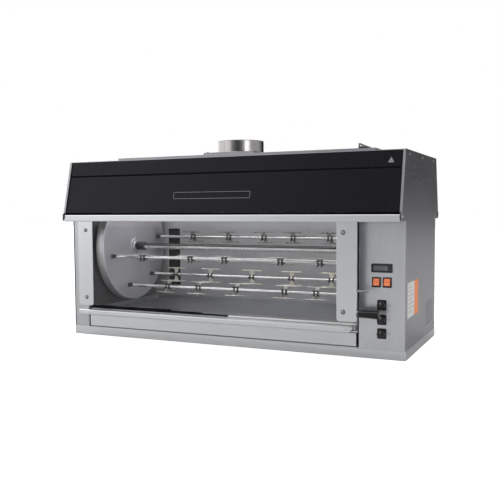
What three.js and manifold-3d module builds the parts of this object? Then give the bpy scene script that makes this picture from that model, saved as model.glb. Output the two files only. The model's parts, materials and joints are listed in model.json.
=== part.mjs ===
// Countertop planetary rotisserie oven: six spits carried round between two discs inside a
// stainless cabinet, under a black-fronted hood with a flue, behind a glass door hung from a rail.
//
// Frame: millimetres, +Z up, the front faces -Y, the control housing is at +X.
// Origin: the middle of the footprint, on the surface that the plinth stands on.
import * as THREE from "three";
import { mergeVertices } from "three/addons/utils/BufferGeometryUtils.js";
import Module from "manifold-3d";

// ---------------------------------------------------------------- driving dimensions
const WIDTH = 1300; // over the side panels
const DEPTH = 500; // of the cabinet below the hood
const SHEET = 2; // every folded panel
const GAP = 0.3; // between neighbouring pieces
const PLINTH_HEIGHT = 30;
const HOOD_BOTTOM = 468;
const HOOD_TOP = 668;
const HOOD_OUT_BOTTOM = 58; // the hood stands this far past the cabinet at its lower edge
const HOOD_OUT_TOP = 10;
const COLUMN_WIDTH = 65; // left-hand front post
const CAVITY_RIGHT = 490; // inner wall beside the control housing
const ROTOR_Y = 8;
const ROTOR_Z = 333;
const DISC_RADIUS = 222;
const DISC_RIM = 35;
const SPIT_CIRCLE = 167;
const SPIT_COUNT = 6;
const FIRST_SPIT_DEG = -168.5; // measured from +Y towards +Z
const SHAFT_RADIUS = 12;
const DOOR_PIVOT_Y = -301;
const DOOR_PIVOT_Z = 458;
const FLUE_X = -42;
const FLUE_RADIUS = 89;
const PIN_RADIUS = 4;

// ---------------------------------------------------------------- derived places
const X_OUT = WIDTH / 2;
const X_IN = X_OUT - SHEET;
const Y_FRONT = -DEPTH / 2;
const Y_BACK = DEPTH / 2;
const PANEL_BOTTOM = PLINTH_HEIGHT + SHEET + 2 * GAP;
const CAVITY_LEFT = -X_IN + COLUMN_WIDTH; // face of the post and plane of the left liner
const LINER_BOTTOM = 83;
const LINER_TOP = 600;
const DISC_FACE_LEFT = -535;
const DISC_FACE_RIGHT = 440;
const SUN_TEETH = 52;
const PLANET_TEETH = 16;
const SPIT_MODULE = (2 * SPIT_CIRCLE) / (SUN_TEETH + PLANET_TEETH);
const GEAR_WIDTH = 10;
const PLANET_X = DISC_FACE_LEFT - 27; // left face of the planet wheels
const MAIN_TEETH = 40;
const PINION_TEETH = 12;
const DRIVE_MODULE = 4;
const DRIVE_CENTRES = ((MAIN_TEETH + PINION_TEETH) * DRIVE_MODULE) / 2;
const MAIN_GEAR_X = 503;

// ---------------------------------------------------------------- finishes
const finish = (color, roughness, metalness) =>
  new THREE.MeshStandardMaterial({ color, roughness, metalness });
const STEEL = finish(0xb9bcbe, 0.35, 1.0);
const STEEL_DARK = finish(0x808186, 0.4, 1.0);
const CHROME = finish(0xd8d9db, 0.15, 1.0);
const BLACK_PAINT = finish(0x28272c, 0.35, 0.0);
const BLACK_PLASTIC = finish(0x1a1a1c, 0.4, 0.0);
const ORANGE_LENS = finish(0xe6763a, 0.3, 0.0);
const GLASS = finish(0xdfe8e6, 0.05, 0.0);
const CERAMIC = finish(0xc9b79a, 0.9, 0.0);
const BRASS = finish(0xb08d4a, 0.35, 1.0);
const CAST = finish(0x5c5f63, 0.6, 0.8);

// ---------------------------------------------------------------- solid modelling helpers
const wasm = await Module();
wasm.setup();

function toSolid(geometry) {
  const bare = geometry.index ? geometry.toNonIndexed() : geometry.clone();
  bare.deleteAttribute("normal");
  bare.deleteAttribute("uv");
  const merged = mergeVertices(bare, 1e-3);
  return new wasm.Manifold(
    new wasm.Mesh({
      numProp: 3,
      vertProperties: new Float32Array(merged.attributes.position.array),
      triVerts: new Uint32Array(merged.index.array),
    }),
  );
}

function toGeometry(body) {
  const mesh = body.getMesh();
  const positions = new Float32Array(mesh.numVert * 3);
  for (let i = 0; i < mesh.numVert; i++) {
    positions.set(mesh.vertProperties.subarray(i * mesh.numProp, i * mesh.numProp + 3), i * 3);
  }
  const geometry = new THREE.BufferGeometry();
  geometry.setAttribute("position", new THREE.BufferAttribute(positions, 3));
  geometry.setIndex(new THREE.BufferAttribute(new Uint32Array(mesh.triVerts), 1));
  return geometry;
}

const join = (...shapes) =>
  toGeometry(shapes.map(toSolid).reduce((a, b) => a.add(b)));
const cut = (shape, ...tools) =>
  toGeometry(tools.map(toSolid).reduce((a, b) => a.subtract(b), toSolid(shape)));

// A block given by its limits along X, Y and Z.
const block = (x0, x1, y0, y1, z0, z1) =>
  new THREE.BoxGeometry(x1 - x0, y1 - y0, z1 - z0).translate((x0 + x1) / 2, (y0 + y1) / 2, (z0 + z1) / 2);

// A round bar along X, Y or Z: centre line at (a, b) in the other two axes, from one end to the other.
function barX(y, z, radius, x0, x1, sides = 16) {
  return new THREE.CylinderGeometry(radius, radius, x1 - x0, sides)
    .rotateZ(Math.PI / 2)
    .translate((x0 + x1) / 2, y, z);
}
function barY(x, z, radius, y0, y1, sides = 12) {
  return new THREE.CylinderGeometry(radius, radius, y1 - y0, sides).translate(x, (y0 + y1) / 2, z);
}
function barZ(x, y, radius, z0, z1, sides = 48) {
  return new THREE.CylinderGeometry(radius, radius, z1 - z0, sides)
    .rotateX(Math.PI / 2)
    .translate(x, y, (z0 + z1) / 2);
}

// An outline of [y, z] points drawn out along X.
const ALONG_X = new THREE.Matrix4().set(0, 0, 1, 0, 1, 0, 0, 0, 0, 1, 0, 0, 0, 0, 0, 1);
function profileX(points, x0, x1) {
  const shape = new THREE.Shape(points.map(([y, z]) => new THREE.Vector2(y, z)));
  return new THREE.ExtrudeGeometry(shape, { depth: x1 - x0, bevelEnabled: false })
    .applyMatrix4(ALONG_X)
    .translate(x0, 0, 0);
}

// An open-topped tray with walls one sheet thick.
const tray = (x0, x1, y0, y1, z0, z1) =>
  cut(
    block(x0, x1, y0, y1, z0, z1),
    block(x0 + SHEET, x1 - SHEET, y0 + SHEET, y1 - SHEET, z0 + SHEET, z1 + 1),
  );

// Outline of a spur wheel: straight-flanked teeth, thinned for backlash. phase turns it, in teeth.
function gearOutline(teeth, module, phase = 0) {
  const pitch = (teeth * module) / 2;
  const step = (2 * Math.PI) / teeth;
  const corners = [
    [pitch - 1.2 * module, -0.31],
    [pitch + 0.9 * module, -0.12],
    [pitch + 0.9 * module, 0.12],
    [pitch - 1.2 * module, 0.31],
  ];
  const points = [];
  for (let i = 0; i < teeth; i++) {
    for (const [radius, share] of corners) {
      const angle = (i + phase + share) * step;
      points.push([radius * Math.cos(angle), radius * Math.sin(angle)]);
    }
  }
  return points;
}

const root = new THREE.Group();
function add(name, geometry, material, at = [0, 0, 0]) {
  const mesh = new THREE.Mesh(geometry, material);
  mesh.name = name;
  mesh.position.set(...at);
  root.add(mesh);
  return mesh;
}

// ---------------------------------------------------------------- plinth and floor
add(
  "plinth",
  cut(
    block(-X_OUT - 1, X_OUT + 1, Y_FRONT - 1, Y_BACK + 1, 0, PLINTH_HEIGHT),
    block(-X_OUT + 2, X_OUT - 2, Y_FRONT + 2, Y_BACK - 2, -1, PLINTH_HEIGHT + 1),
  ),
  STEEL,
);
add(
  "floor_panel",
  block(-X_OUT, X_OUT, Y_FRONT, Y_BACK, PLINTH_HEIGHT + GAP, PLINTH_HEIGHT + GAP + SHEET),
  STEEL,
);

// ---------------------------------------------------------------- side panels with hood cheeks
const FLANGE = 12;
const EAR_BOTTOM = 444; // ears below the hood, bored for the door's hinge pins in front
const FASCIA_BOTTOM = 473; // leaves the rail room to turn
const cheekFront = (z) =>
  Y_FRONT - HOOD_OUT_BOTTOM + ((HOOD_OUT_BOTTOM - HOOD_OUT_TOP) * (z - HOOD_BOTTOM)) / (HOOD_TOP - HOOD_BOTTOM);

function sidePanel(side) {
  const outer = side * X_OUT;
  const inner = side * X_IN;
  const [x0, x1] = [Math.min(outer, inner), Math.max(outer, inner)];
  const sheet = profileX(
    [
      [Y_FRONT, PANEL_BOTTOM],
      [Y_BACK, PANEL_BOTTOM],
      [Y_BACK, HOOD_BOTTOM],
      [-cheekFront(HOOD_BOTTOM), HOOD_BOTTOM],
      [-cheekFront(HOOD_TOP), HOOD_TOP],
      [cheekFront(HOOD_TOP), HOOD_TOP],
      [cheekFront(HOOD_BOTTOM), HOOD_BOTTOM],
      [Y_FRONT, HOOD_BOTTOM],
    ],
    x0,
    x1,
  );
  const fx = [side * (X_OUT - FLANGE), side * (X_OUT - 0.5)].sort((a, b) => a - b);
  const flange = (sign) => {
    const lip = [
      [sign * cheekFront(FASCIA_BOTTOM), FASCIA_BOTTOM],
      [sign * (cheekFront(FASCIA_BOTTOM) + SHEET), FASCIA_BOTTOM],
      [sign * (cheekFront(HOOD_TOP) + SHEET), HOOD_TOP],
      [sign * cheekFront(HOOD_TOP), HOOD_TOP],
    ];
    return profileX(sign > 0 ? lip : lip.reverse(), ...fx);
  };
  const ear = block(x0, x1, DOOR_PIVOT_Y - 13, Y_FRONT + 1, EAR_BOTTOM, HOOD_BOTTOM + 1);
  const rearEar = block(x0, x1, Y_BACK - 1, 13 - DOOR_PIVOT_Y, EAR_BOTTOM, HOOD_BOTTOM + 1);
  const pinHole = barX(DOOR_PIVOT_Y, DOOR_PIVOT_Z, PIN_RADIUS + GAP, x0 - 5, x1 + 5, 12);
  return cut(join(sheet, flange(1), flange(-1), ear, rearEar), pinHole);
}
add("left_side_panel", sidePanel(-1), STEEL);
add("right_side_panel", sidePanel(1), STEEL);

// ---------------------------------------------------------------- front post, back and inner walls
const FRONT_TOP = HOOD_BOTTOM - 10;
const POST_DEPTH = 40;
add(
  "left_column",
  cut(
    block(-X_IN + GAP, CAVITY_LEFT, Y_FRONT, Y_FRONT + POST_DEPTH, PANEL_BOTTOM, FRONT_TOP),
    block(-X_IN + GAP + SHEET, CAVITY_LEFT - SHEET, Y_FRONT + SHEET, Y_BACK, 0, HOOD_TOP),
  ),
  STEEL,
);
add(
  "rear_panel",
  block(-X_IN + GAP, X_IN - GAP, Y_BACK - SHEET, Y_BACK, PANEL_BOTTOM, HOOD_BOTTOM - GAP),
  STEEL,
);

const LINER_FRONT = Y_FRONT + 4;
const LINER_BACK = 235;
const RUNNER = 16; // folded foot of each liner, which the drip tray slides on
const SLEEVE_RADIUS = 24;
function liner(x0, towardsCavity) {
  const foot = [x0, x0 + SHEET, x0 + towardsCavity * RUNNER].sort((a, b) => a - b);
  return cut(
    join(
      block(x0, x0 + SHEET, LINER_FRONT, LINER_BACK, LINER_BOTTOM, LINER_TOP),
      block(foot[0], foot[2], LINER_FRONT, LINER_BACK, LINER_BOTTOM, LINER_BOTTOM + SHEET),
    ),
    barX(ROTOR_Y, ROTOR_Z, SLEEVE_RADIUS + GAP, x0 - 5, x0 + 7, 24),
  );
}
const LEFT_LINER_X = CAVITY_LEFT + GAP;
add("left_liner", liner(LEFT_LINER_X, 1), STEEL);
add("right_liner", liner(CAVITY_RIGHT, -1), STEEL);

const SLOT = { left: -515, right: -456, bottom: 148, top: 399 }; // air slot at the left of the back wall
add(
  "rear_wall",
  cut(
    block(LEFT_LINER_X, CAVITY_RIGHT + SHEET, LINER_BACK + GAP, LINER_BACK + GAP + SHEET, LINER_BOTTOM, LINER_TOP),
    block(SLOT.left, SLOT.right, LINER_BACK - 5, LINER_BACK + 8, SLOT.bottom, SLOT.top),
  ),
  STEEL,
);

// ---------------------------------------------------------------- hood
const FASCIA_X = X_OUT - FLANGE - 0.5;
const FASCIA_SET_BACK = 4;
const fascia = (sign, z0, z1) => {
  const outline = [
    [sign * (cheekFront(z0) + FASCIA_SET_BACK), z0],
    [sign * (cheekFront(z0) + FASCIA_SET_BACK + SHEET), z0],
    [sign * (cheekFront(z1) + FASCIA_SET_BACK + SHEET), z1],
    [sign * (cheekFront(z1) + FASCIA_SET_BACK), z1],
  ];
  return profileX(sign > 0 ? outline : outline.reverse(), -FASCIA_X, FASCIA_X);
};
const SEAM_BOTTOM = 609;
const SEAM_TOP = 613;
const ROOF_UNDERSIDE = HOOD_TOP - SHEET;
const RETURN = 26; // lower edge of the front, folded back under the hood
const lipY = cheekFront(FASCIA_BOTTOM) + FASCIA_SET_BACK;
add("fascia_upper", fascia(1, SEAM_TOP, ROOF_UNDERSIDE - GAP), BLACK_PAINT);
add(
  "fascia_lower",
  join(
    fascia(1, FASCIA_BOTTOM, SEAM_BOTTOM),
    block(-FASCIA_X, FASCIA_X, lipY + 0.4, lipY + RETURN, FASCIA_BOTTOM, FASCIA_BOTTOM + SHEET),
  ),
  BLACK_PAINT,
);
const rearRailY = -(cheekFront(HOOD_BOTTOM) + FASCIA_SET_BACK + SHEET);
add(
  "rear_fascia",
  join(
    fascia(-1, HOOD_BOTTOM + GAP, ROOF_UNDERSIDE - GAP),
    block(-FASCIA_X, FASCIA_X, rearRailY, rearRailY + 5, EAR_BOTTOM, HOOD_BOTTOM + 6),
  ),
  STEEL,
);

const FLUE_BORE = FLUE_RADIUS - SHEET;
add(
  "roof_panel",
  cut(
    block(-X_IN + GAP, X_IN - GAP, cheekFront(HOOD_TOP) + 3, -cheekFront(HOOD_TOP) - 3, ROOF_UNDERSIDE, HOOD_TOP),
    barZ(FLUE_X, 0, FLUE_BORE, ROOF_UNDERSIDE - 5, HOOD_TOP + 5),
  ),
  STEEL,
);

// Raised cover on the roof, then the flue's square base and its collar.
const COVER = { left: -460, right: 540, half: 215, height: 11 };
const COVER_BASE = HOOD_TOP + GAP;
const COVER_TOP = COVER_BASE + COVER.height;
add(
  "roof_cover",
  cut(
    block(COVER.left, COVER.right, -COVER.half, COVER.half, COVER_BASE, COVER_TOP),
    block(
      COVER.left + SHEET,
      COVER.right - SHEET,
      -COVER.half + SHEET,
      COVER.half - SHEET,
      COVER_BASE - 1,
      COVER_TOP - SHEET,
    ),
    barZ(FLUE_X, 0, FLUE_BORE, COVER_BASE, COVER_TOP + 5),
  ),
  STEEL,
);
const FLUE_BASE_TOP = COVER_TOP + GAP + 16;
add(
  "flue_base",
  cut(
    block(FLUE_X - 104, FLUE_X + 104, -110, 110, COVER_TOP + GAP, FLUE_BASE_TOP),
    barZ(FLUE_X, 0, FLUE_BORE, COVER_TOP - 5, FLUE_BASE_TOP + 5),
  ),
  STEEL,
);
const COLLAR_TOP = FLUE_BASE_TOP + 46;
add(
  "flue_collar",
  cut(
    barZ(FLUE_X, 0, FLUE_RADIUS, FLUE_BASE_TOP + GAP, COLLAR_TOP),
    barZ(FLUE_X, 0, FLUE_BORE, FLUE_BASE_TOP - 5, COLLAR_TOP + 5),
  ),
  STEEL_DARK,
);
// ---------------------------------------------------------------- gas side: burners, manifold, valves
const BURNER_Z = 575;
const BURNER_PITCH = 330;
for (let i = 0; i < 3; i++) {
  const x = -45 + (i - 1) * BURNER_PITCH;
  const body = cut(
    block(x - 150, x + 150, -50, 50, BURNER_Z, BURNER_Z + 30),
    block(x - 142, x + 142, -42, 42, BURNER_Z - 1, BURNER_Z + 3),
  );
  add("burner_" + (i + 1), body, CERAMIC);
}
const MANIFOLD_Y = 100;
const MANIFOLD_Z = BURNER_Z + 30 + GAP + 9;
const VALVE_X = 574;
const VALVE = { front: -236, back: -205, bottom: 58, top: 198 };
add(
  "gas_manifold",
  join(
    barX(MANIFOLD_Y, MANIFOLD_Z, 9, -420, VALVE_X + 9, 12),
    barZ(VALVE_X, MANIFOLD_Y, 9, 140, MANIFOLD_Z, 12),
    barY(VALVE_X, 140, 9, VALVE.back + GAP, MANIFOLD_Y + 9, 12),
  ),
  BRASS,
);

// ---------------------------------------------------------------- control panel and what it carries
const PANEL_LEFT = 499;
const DISPLAY = { left: 540, right: 607, bottom: 280, top: 307 };
const ROCKER = { width: 28, height: 32, z: 248, xs: [556, 591], tilt: 8 };
const KNOB = { radius: 13, depth: 17, grip: 5, plateWidth: 28, plateHeight: 32, plate: 3, zs: [175, 128, 83] };
const rockerHole = (x) =>
  block(x - 12.5, x + 12.5, Y_FRONT - 5, Y_FRONT + 9, ROCKER.z - 14.5, ROCKER.z + 14.5);
const DISPLAY_EDGE = 3;
add(
  "control_panel",
  cut(
    join(
      block(PANEL_LEFT, X_IN - GAP, Y_FRONT, Y_FRONT + SHEET, PANEL_BOTTOM, FRONT_TOP),
      block(PANEL_LEFT, PANEL_LEFT + SHEET, Y_FRONT, Y_FRONT + POST_DEPTH, PANEL_BOTTOM, FRONT_TOP),
    ),
    block(
      DISPLAY.left + DISPLAY_EDGE,
      DISPLAY.right - DISPLAY_EDGE,
      Y_FRONT - 5,
      Y_FRONT + 9,
      DISPLAY.bottom + DISPLAY_EDGE,
      DISPLAY.top - DISPLAY_EDGE,
    ),
    ...ROCKER.xs.map(rockerHole),
    ...KNOB.zs.map((z) => barY(VALVE_X, z, 5, Y_FRONT - 5, Y_FRONT + 9)),
  ),
  STEEL,
);
add(
  "temperature_display",
  join(
    block(DISPLAY.left, DISPLAY.right, Y_FRONT - 4, Y_FRONT - GAP, DISPLAY.bottom, DISPLAY.top),
    block(
      DISPLAY.left + DISPLAY_EDGE + GAP,
      DISPLAY.right - DISPLAY_EDGE - GAP,
      Y_FRONT - 2,
      Y_FRONT + 55,
      DISPLAY.bottom + DISPLAY_EDGE + GAP,
      DISPLAY.top - DISPLAY_EDGE - GAP,
    ),
  ),
  BLACK_PLASTIC,
);

ROCKER.xs.forEach((x, i) => {
  const housing = cut(
    join(
      block(x - ROCKER.width / 2, x + ROCKER.width / 2, Y_FRONT - 3, Y_FRONT - GAP, ROCKER.z - 16, ROCKER.z + 16),
      block(x - 12, x + 12, Y_FRONT - 2, Y_FRONT + 26, ROCKER.z - 14, ROCKER.z + 14),
    ),
    block(x - 10.5, x + 10.5, Y_FRONT - 9, Y_FRONT + 14, ROCKER.z - 13, ROCKER.z + 13),
  );
  add("switch_housing_" + (i + 1), housing, BLACK_PLASTIC);
  const key = profileX(
    [
      [-7, -11.5],
      [-5.6, 0],
      [-7, 11.5],
      [4, 11.5],
      [8, 0],
      [4, -11.5],
    ].reverse(),
    -10,
    10,
  );
  const rocker = add("rocker_" + (i + 1), key, ORANGE_LENS, [x, Y_FRONT, ROCKER.z]);
  rocker.rotation.x = THREE.MathUtils.degToRad(-ROCKER.tilt);
});

add(
  "valve_block",
  cut(
    block(VALVE_X - 18, VALVE_X + 18, VALVE.front, VALVE.back, VALVE.bottom, VALVE.top),
    ...KNOB.zs.map((z) => barY(VALVE_X, z, 4.6, VALVE.front - 5, VALVE.front + 14)),
  ),
  BRASS,
);
KNOB.zs.forEach((z, i) => {
  const plateBack = Y_FRONT - GAP;
  const plate = cut(
    block(
      VALVE_X - KNOB.plateWidth / 2,
      VALVE_X + KNOB.plateWidth / 2,
      plateBack - KNOB.plate,
      plateBack,
      z - KNOB.plateHeight / 2,
      z + KNOB.plateHeight / 2,
    ),
    barY(VALVE_X, z, 5, plateBack - 9, plateBack + 5),
  );
  add("knob_plate_" + (i + 1), plate, BLACK_PLASTIC);
  const back = plateBack - KNOB.plate - GAP;
  const front = back - KNOB.depth;
  const knob = join(
    barY(0, 0, KNOB.radius, front + KNOB.grip, back, 24),
    block(-3, 3, front, back - 1, -KNOB.radius + 0.5, KNOB.radius - 0.5),
    barY(0, 0, 4, back - 1, VALVE.front + 12),
  );
  add("knob_" + (i + 1), knob, BLACK_PLASTIC, [VALVE_X, 0, z]);
});

// ---------------------------------------------------------------- drive: motor, wheels, bearings
const PINION_Z = ROTOR_Z - DRIVE_CENTRES;
const MOTOR_X = MAIN_GEAR_X + GEAR_WIDTH + 7;
add(
  "gear_motor",
  cut(
    join(
      block(MOTOR_X, MOTOR_X + 46, ROTOR_Y - 45, ROTOR_Y + 45, PINION_Z - 45, PINION_Z + 34),
      barX(ROTOR_Y, PINION_Z - 8, 30, MOTOR_X + 40, X_IN - 12, 20),
    ),
    barX(ROTOR_Y, PINION_Z, 6, MOTOR_X - 5, MOTOR_X + 16, 12),
  ),
  CAST,
);
const spurX = (teeth, module, phase, x0, bore, sides) =>
  cut(profileX(gearOutline(teeth, module, phase), x0, x0 + GEAR_WIDTH), barX(0, 0, bore, x0 - 5, x0 + GEAR_WIDTH + 5, sides));
const onRotor = [0, ROTOR_Y, ROTOR_Z];
// The main wheel has a tooth pointing straight down, so the pinion below it has a gap pointing up.
const MAIN_PHASE = 0;
const PINION_PHASE = 0.5;
const mainGear = spurX(MAIN_TEETH, DRIVE_MODULE, MAIN_PHASE, MAIN_GEAR_X, SHAFT_RADIUS + GAP, 16);
add("main_gear", mainGear, CAST, onRotor);
add(
  "motor_pinion",
  join(
    profileX(gearOutline(PINION_TEETH, DRIVE_MODULE, PINION_PHASE), MAIN_GEAR_X, MAIN_GEAR_X + GEAR_WIDTH),
    barX(0, 0, 5, MAIN_GEAR_X - 4, MOTOR_X + 13, 12),
  ),
  CAST,
  [0, ROTOR_Y, PINION_Z],
);
const BEARING_BORE = SHAFT_RADIUS + 2 * GAP;
add(
  "shaft_bearing",
  cut(
    join(
      barX(0, 0, SLEEVE_RADIUS, CAVITY_RIGHT - 1, CAVITY_RIGHT + SHEET + 7, 24),
      barX(0, 0, SLEEVE_RADIUS + 10, CAVITY_RIGHT + SHEET + GAP, CAVITY_RIGHT + SHEET + 5, 24),
    ),
    barX(0, 0, BEARING_BORE, CAVITY_RIGHT - 9, CAVITY_RIGHT + 19, 16),
  ),
  BRASS,
  onRotor,
);
// The fixed sun wheel is bolted to the left liner and its boss is the shaft's other bearing.
add(
  "sun_gear",
  cut(
    join(
      profileX(gearOutline(SUN_TEETH, SPIT_MODULE), PLANET_X, PLANET_X + GEAR_WIDTH),
      barX(0, 0, SLEEVE_RADIUS, LEFT_LINER_X - 6, PLANET_X + 1, 24),
      barX(0, 0, SLEEVE_RADIUS + 12, LEFT_LINER_X + SHEET + GAP, PLANET_X + 1, 24),
    ),
    barX(0, 0, BEARING_BORE, LEFT_LINER_X - 20, PLANET_X + 30, 16),
  ),
  CAST,
  onRotor,
);

// ---------------------------------------------------------------- rotor: shaft and two rimmed discs
add("rotor_shaft", barX(0, 0, SHAFT_RADIUS, LEFT_LINER_X - 4, MAIN_GEAR_X + GEAR_WIDTH + 4, 16), CHROME, onRotor);

const spitAngle = (i) => THREE.MathUtils.degToRad(FIRST_SPIT_DEG + (360 / SPIT_COUNT) * i);
const spitAt = (i) => [SPIT_CIRCLE * Math.cos(spitAngle(i)), SPIT_CIRCLE * Math.sin(spitAngle(i))];
const SPIT_HOLE = 7;
function disc(faceX, rimSide) {
  const rimEnd = -rimSide * DISC_RIM;
  const skin = -rimSide * SHEET;
  const profile = [
    [SHAFT_RADIUS + 3, 0],
    [SHAFT_RADIUS + 3, skin],
    [DISC_RADIUS - SHEET, skin],
    [DISC_RADIUS - SHEET, rimEnd],
    [DISC_RADIUS, rimEnd],
    [DISC_RADIUS, 0],
    [SHAFT_RADIUS + 3, 0],
  ].map(([radius, along]) => new THREE.Vector2(radius, along));
  const shell = new THREE.LatheGeometry(rimSide > 0 ? profile : profile.reverse(), 72)
    .rotateZ(-Math.PI / 2)
    .translate(faceX, 0, 0);
  const hub = cut(
    barX(0, 0, SHAFT_RADIUS + 9, faceX - 7, faceX + 7, 24),
    barX(0, 0, SHAFT_RADIUS + GAP, faceX - 20, faceX + 20, 16),
  );
  const holes = Array.from({ length: SPIT_COUNT }, (_, i) =>
    barX(...spitAt(i), SPIT_HOLE, faceX - 20, faceX + 20, 12),
  );
  return cut(join(shell, hub), ...holes);
}
add("drive_disc", disc(DISC_FACE_LEFT, 1), STEEL, onRotor);
add("idler_disc", disc(DISC_FACE_RIGHT, -1), STEEL, onRotor);

// ---------------------------------------------------------------- spits, each with five clamped forks
const SPIT_RADIUS = 5;
const FORK_REACH = 27;
const PRONG_LENGTH = 92;
const PRONG = 4;
function fork(x) {
  const web = new THREE.Shape(
    [
      [-4, 0],
      [-10, -FORK_REACH],
      [10, -FORK_REACH],
      [4, 0],
      [10, FORK_REACH],
      [-10, FORK_REACH],
    ].map(([a, b]) => new THREE.Vector2(a, b)),
  );
  const plate = new THREE.ExtrudeGeometry(web, { depth: 3, bevelEnabled: false })
    .translate(0, 0, -1.5)
    .rotateX(Math.PI / 2)
    .translate(x, 0, 0);
  const prongs = [-1, 1].map((s) =>
    block(x - PRONG_LENGTH / 2, x + PRONG_LENGTH / 2, -PRONG / 2, PRONG / 2, s * FORK_REACH - PRONG / 2, s * FORK_REACH + PRONG / 2),
  );
  return [plate, ...prongs, barX(0, 0, 11, x - 9, x + 9, 10)];
}
const SPIT_TURN_DEG = [63, -40, 0, 38, 20, 75]; // how each spit's forks happen to stand at rest
const FORK_STATIONS = [
  [-391, -178, -35, 187, 334],
  [-348, -207, -43, 157, 281],
  [-407, -242, -52, 120, 285],
  [-350, -181, -20, 108, 262],
  [-390, -215, -40, 135, 310],
  [-360, -200, -30, 150, 300],
]; // where each spit's forks are clamped along it
for (let i = 0; i < SPIT_COUNT; i++) {
  const forks = FORK_STATIONS[i].flatMap(fork);
  const bar = barX(0, 0, SPIT_RADIUS, PLANET_X - 4, DISC_FACE_RIGHT + 24, 8);
  const shape = join(bar, ...forks).rotateX(THREE.MathUtils.degToRad(SPIT_TURN_DEG[i]));
  const [dy, dz] = spitAt(i);
  const place = [0, ROTOR_Y + dy, ROTOR_Z + dz];
  add("spit_" + (i + 1), shape, CHROME, place);
  // Each planet wheel is turned so that a gap faces the sun tooth, or share of a tooth, that it meets.
  const sunTeethToHere = (spitAngle(i) * SUN_TEETH) / (2 * Math.PI);
  const facingSun = ((spitAngle(i) + Math.PI) * PLANET_TEETH) / (2 * Math.PI);
  const phase = facingSun + 0.5 + sunTeethToHere;
  const wheel = spurX(PLANET_TEETH, SPIT_MODULE, phase, PLANET_X, SPIT_RADIUS + 3 * GAP, 8);
  add("planet_gear_" + (i + 1), wheel, CAST, place);
}

// ---------------------------------------------------------------- glass door on its rail
const DOOR = { left: -584, right: 506, bottom: 124, top: 452 };
const STRIP = { width: 65, thickness: 3.7, corner: 5 };
const RAIL = { x: 643, front: -311, thickness: 5, bottom: 441, top: 465 };
add(
  "door_rail",
  join(
    block(-RAIL.x, RAIL.x, RAIL.front, RAIL.front + RAIL.thickness, RAIL.bottom, RAIL.top),
    ...[-1, 1].map((side) => {
      const ends = [side * (RAIL.x - 14), side * (X_OUT + 2)].sort((a, b) => a - b);
      return join(
        barX(DOOR_PIVOT_Y, DOOR_PIVOT_Z, PIN_RADIUS, ...ends, 12),
        block(
          Math.min(side * (RAIL.x - 14), side * RAIL.x),
          Math.max(side * (RAIL.x - 14), side * RAIL.x),
          RAIL.front + 2,
          DOOR_PIVOT_Y + 5,
          DOOR_PIVOT_Z - 6,
          DOOR_PIVOT_Z + 6,
        ),
      );
    }),
  ),
  STEEL,
);
const STRIP_BACK = RAIL.front + RAIL.thickness + GAP + STRIP.thickness;
function strip(x0) {
  const [x1, c] = [x0 + STRIP.width, STRIP.corner];
  const outline = new THREE.Shape();
  outline.moveTo(x0 + c, DOOR.bottom);
  outline.lineTo(x1 - c, DOOR.bottom);
  outline.absarc(x1 - c, DOOR.bottom + c, c, -Math.PI / 2, 0);
  outline.lineTo(x1, DOOR.top);
  outline.lineTo(x0, DOOR.top);
  outline.lineTo(x0, DOOR.bottom + c);
  outline.absarc(x0 + c, DOOR.bottom + c, c, Math.PI, 1.5 * Math.PI);
  return new THREE.ExtrudeGeometry(outline, { depth: STRIP.thickness, bevelEnabled: false, curveSegments: 4 })
    .rotateX(Math.PI / 2)
    .translate(0, STRIP_BACK, 0);
}
add("door_strip_left", strip(DOOR.left), STEEL);
add("door_strip_right", strip(DOOR.right - STRIP.width), STEEL);
const GLASS_THICKNESS = 5;
const GLASS_FRONT = STRIP_BACK + GAP;
add(
  "door_glass",
  block(DOOR.left + 3, DOOR.right - 3, GLASS_FRONT, GLASS_FRONT + GLASS_THICKNESS, DOOR.bottom + 3, DOOR.top - 2),
  GLASS,
);
const HANDLE = { z: 151, radius: 14, left: DOOR.right + GAP, right: 579 };
const HANDLE_Y = STRIP_BACK - STRIP.thickness / 2;
add(
  "door_handle",
  barX(HANDLE_Y, HANDLE.z, HANDLE.radius, HANDLE.left, HANDLE.right, 16),
  BLACK_PLASTIC,
);

// ---------------------------------------------------------------- drip tray and grease drawer
const TRAY = { left: LEFT_LINER_X + SHEET + 3, right: CAVITY_RIGHT - 3, back: 230, bottom: 86, top: 103 };
const LIP = { left: -610, right: 484, front: -276, top: 101, drop: 10 };
add(
  "drip_tray",
  join(
    tray(TRAY.left, TRAY.right, LINER_FRONT + 2, TRAY.back, TRAY.bottom, TRAY.top),
    block(TRAY.left, TRAY.right, Y_FRONT - 4, LINER_FRONT + 3, LIP.top - SHEET, LIP.top),
    block(LIP.left, LIP.right, LIP.front, Y_FRONT - 1, LIP.top - SHEET, LIP.top),
    block(LIP.left, LIP.right, LIP.front, LIP.front + SHEET, LIP.top - LIP.drop, LIP.top),
  ),
  STEEL,
);
const DRAWER = { left: -579, right: 494, bottom: 34, top: 80 };
add(
  "grease_drawer",
  join(
    tray(DRAWER.left + 12, DRAWER.right - 12, Y_FRONT + 1, 120, DRAWER.bottom + 1, DRAWER.top - 10),
    block(DRAWER.left, DRAWER.right, Y_FRONT, Y_FRONT + SHEET, DRAWER.bottom, DRAWER.top),
  ),
  STEEL,
);

export default root;
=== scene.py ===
"""Looks of a long countertop rotisserie oven, built round its fixed frame of nodes."""

import json
import logging
import math
from collections.abc import Callable, Iterable, Sequence
from dataclasses import dataclass, field
from enum import Enum

import bmesh
import bpy
from mathutils import Matrix, Vector


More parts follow.
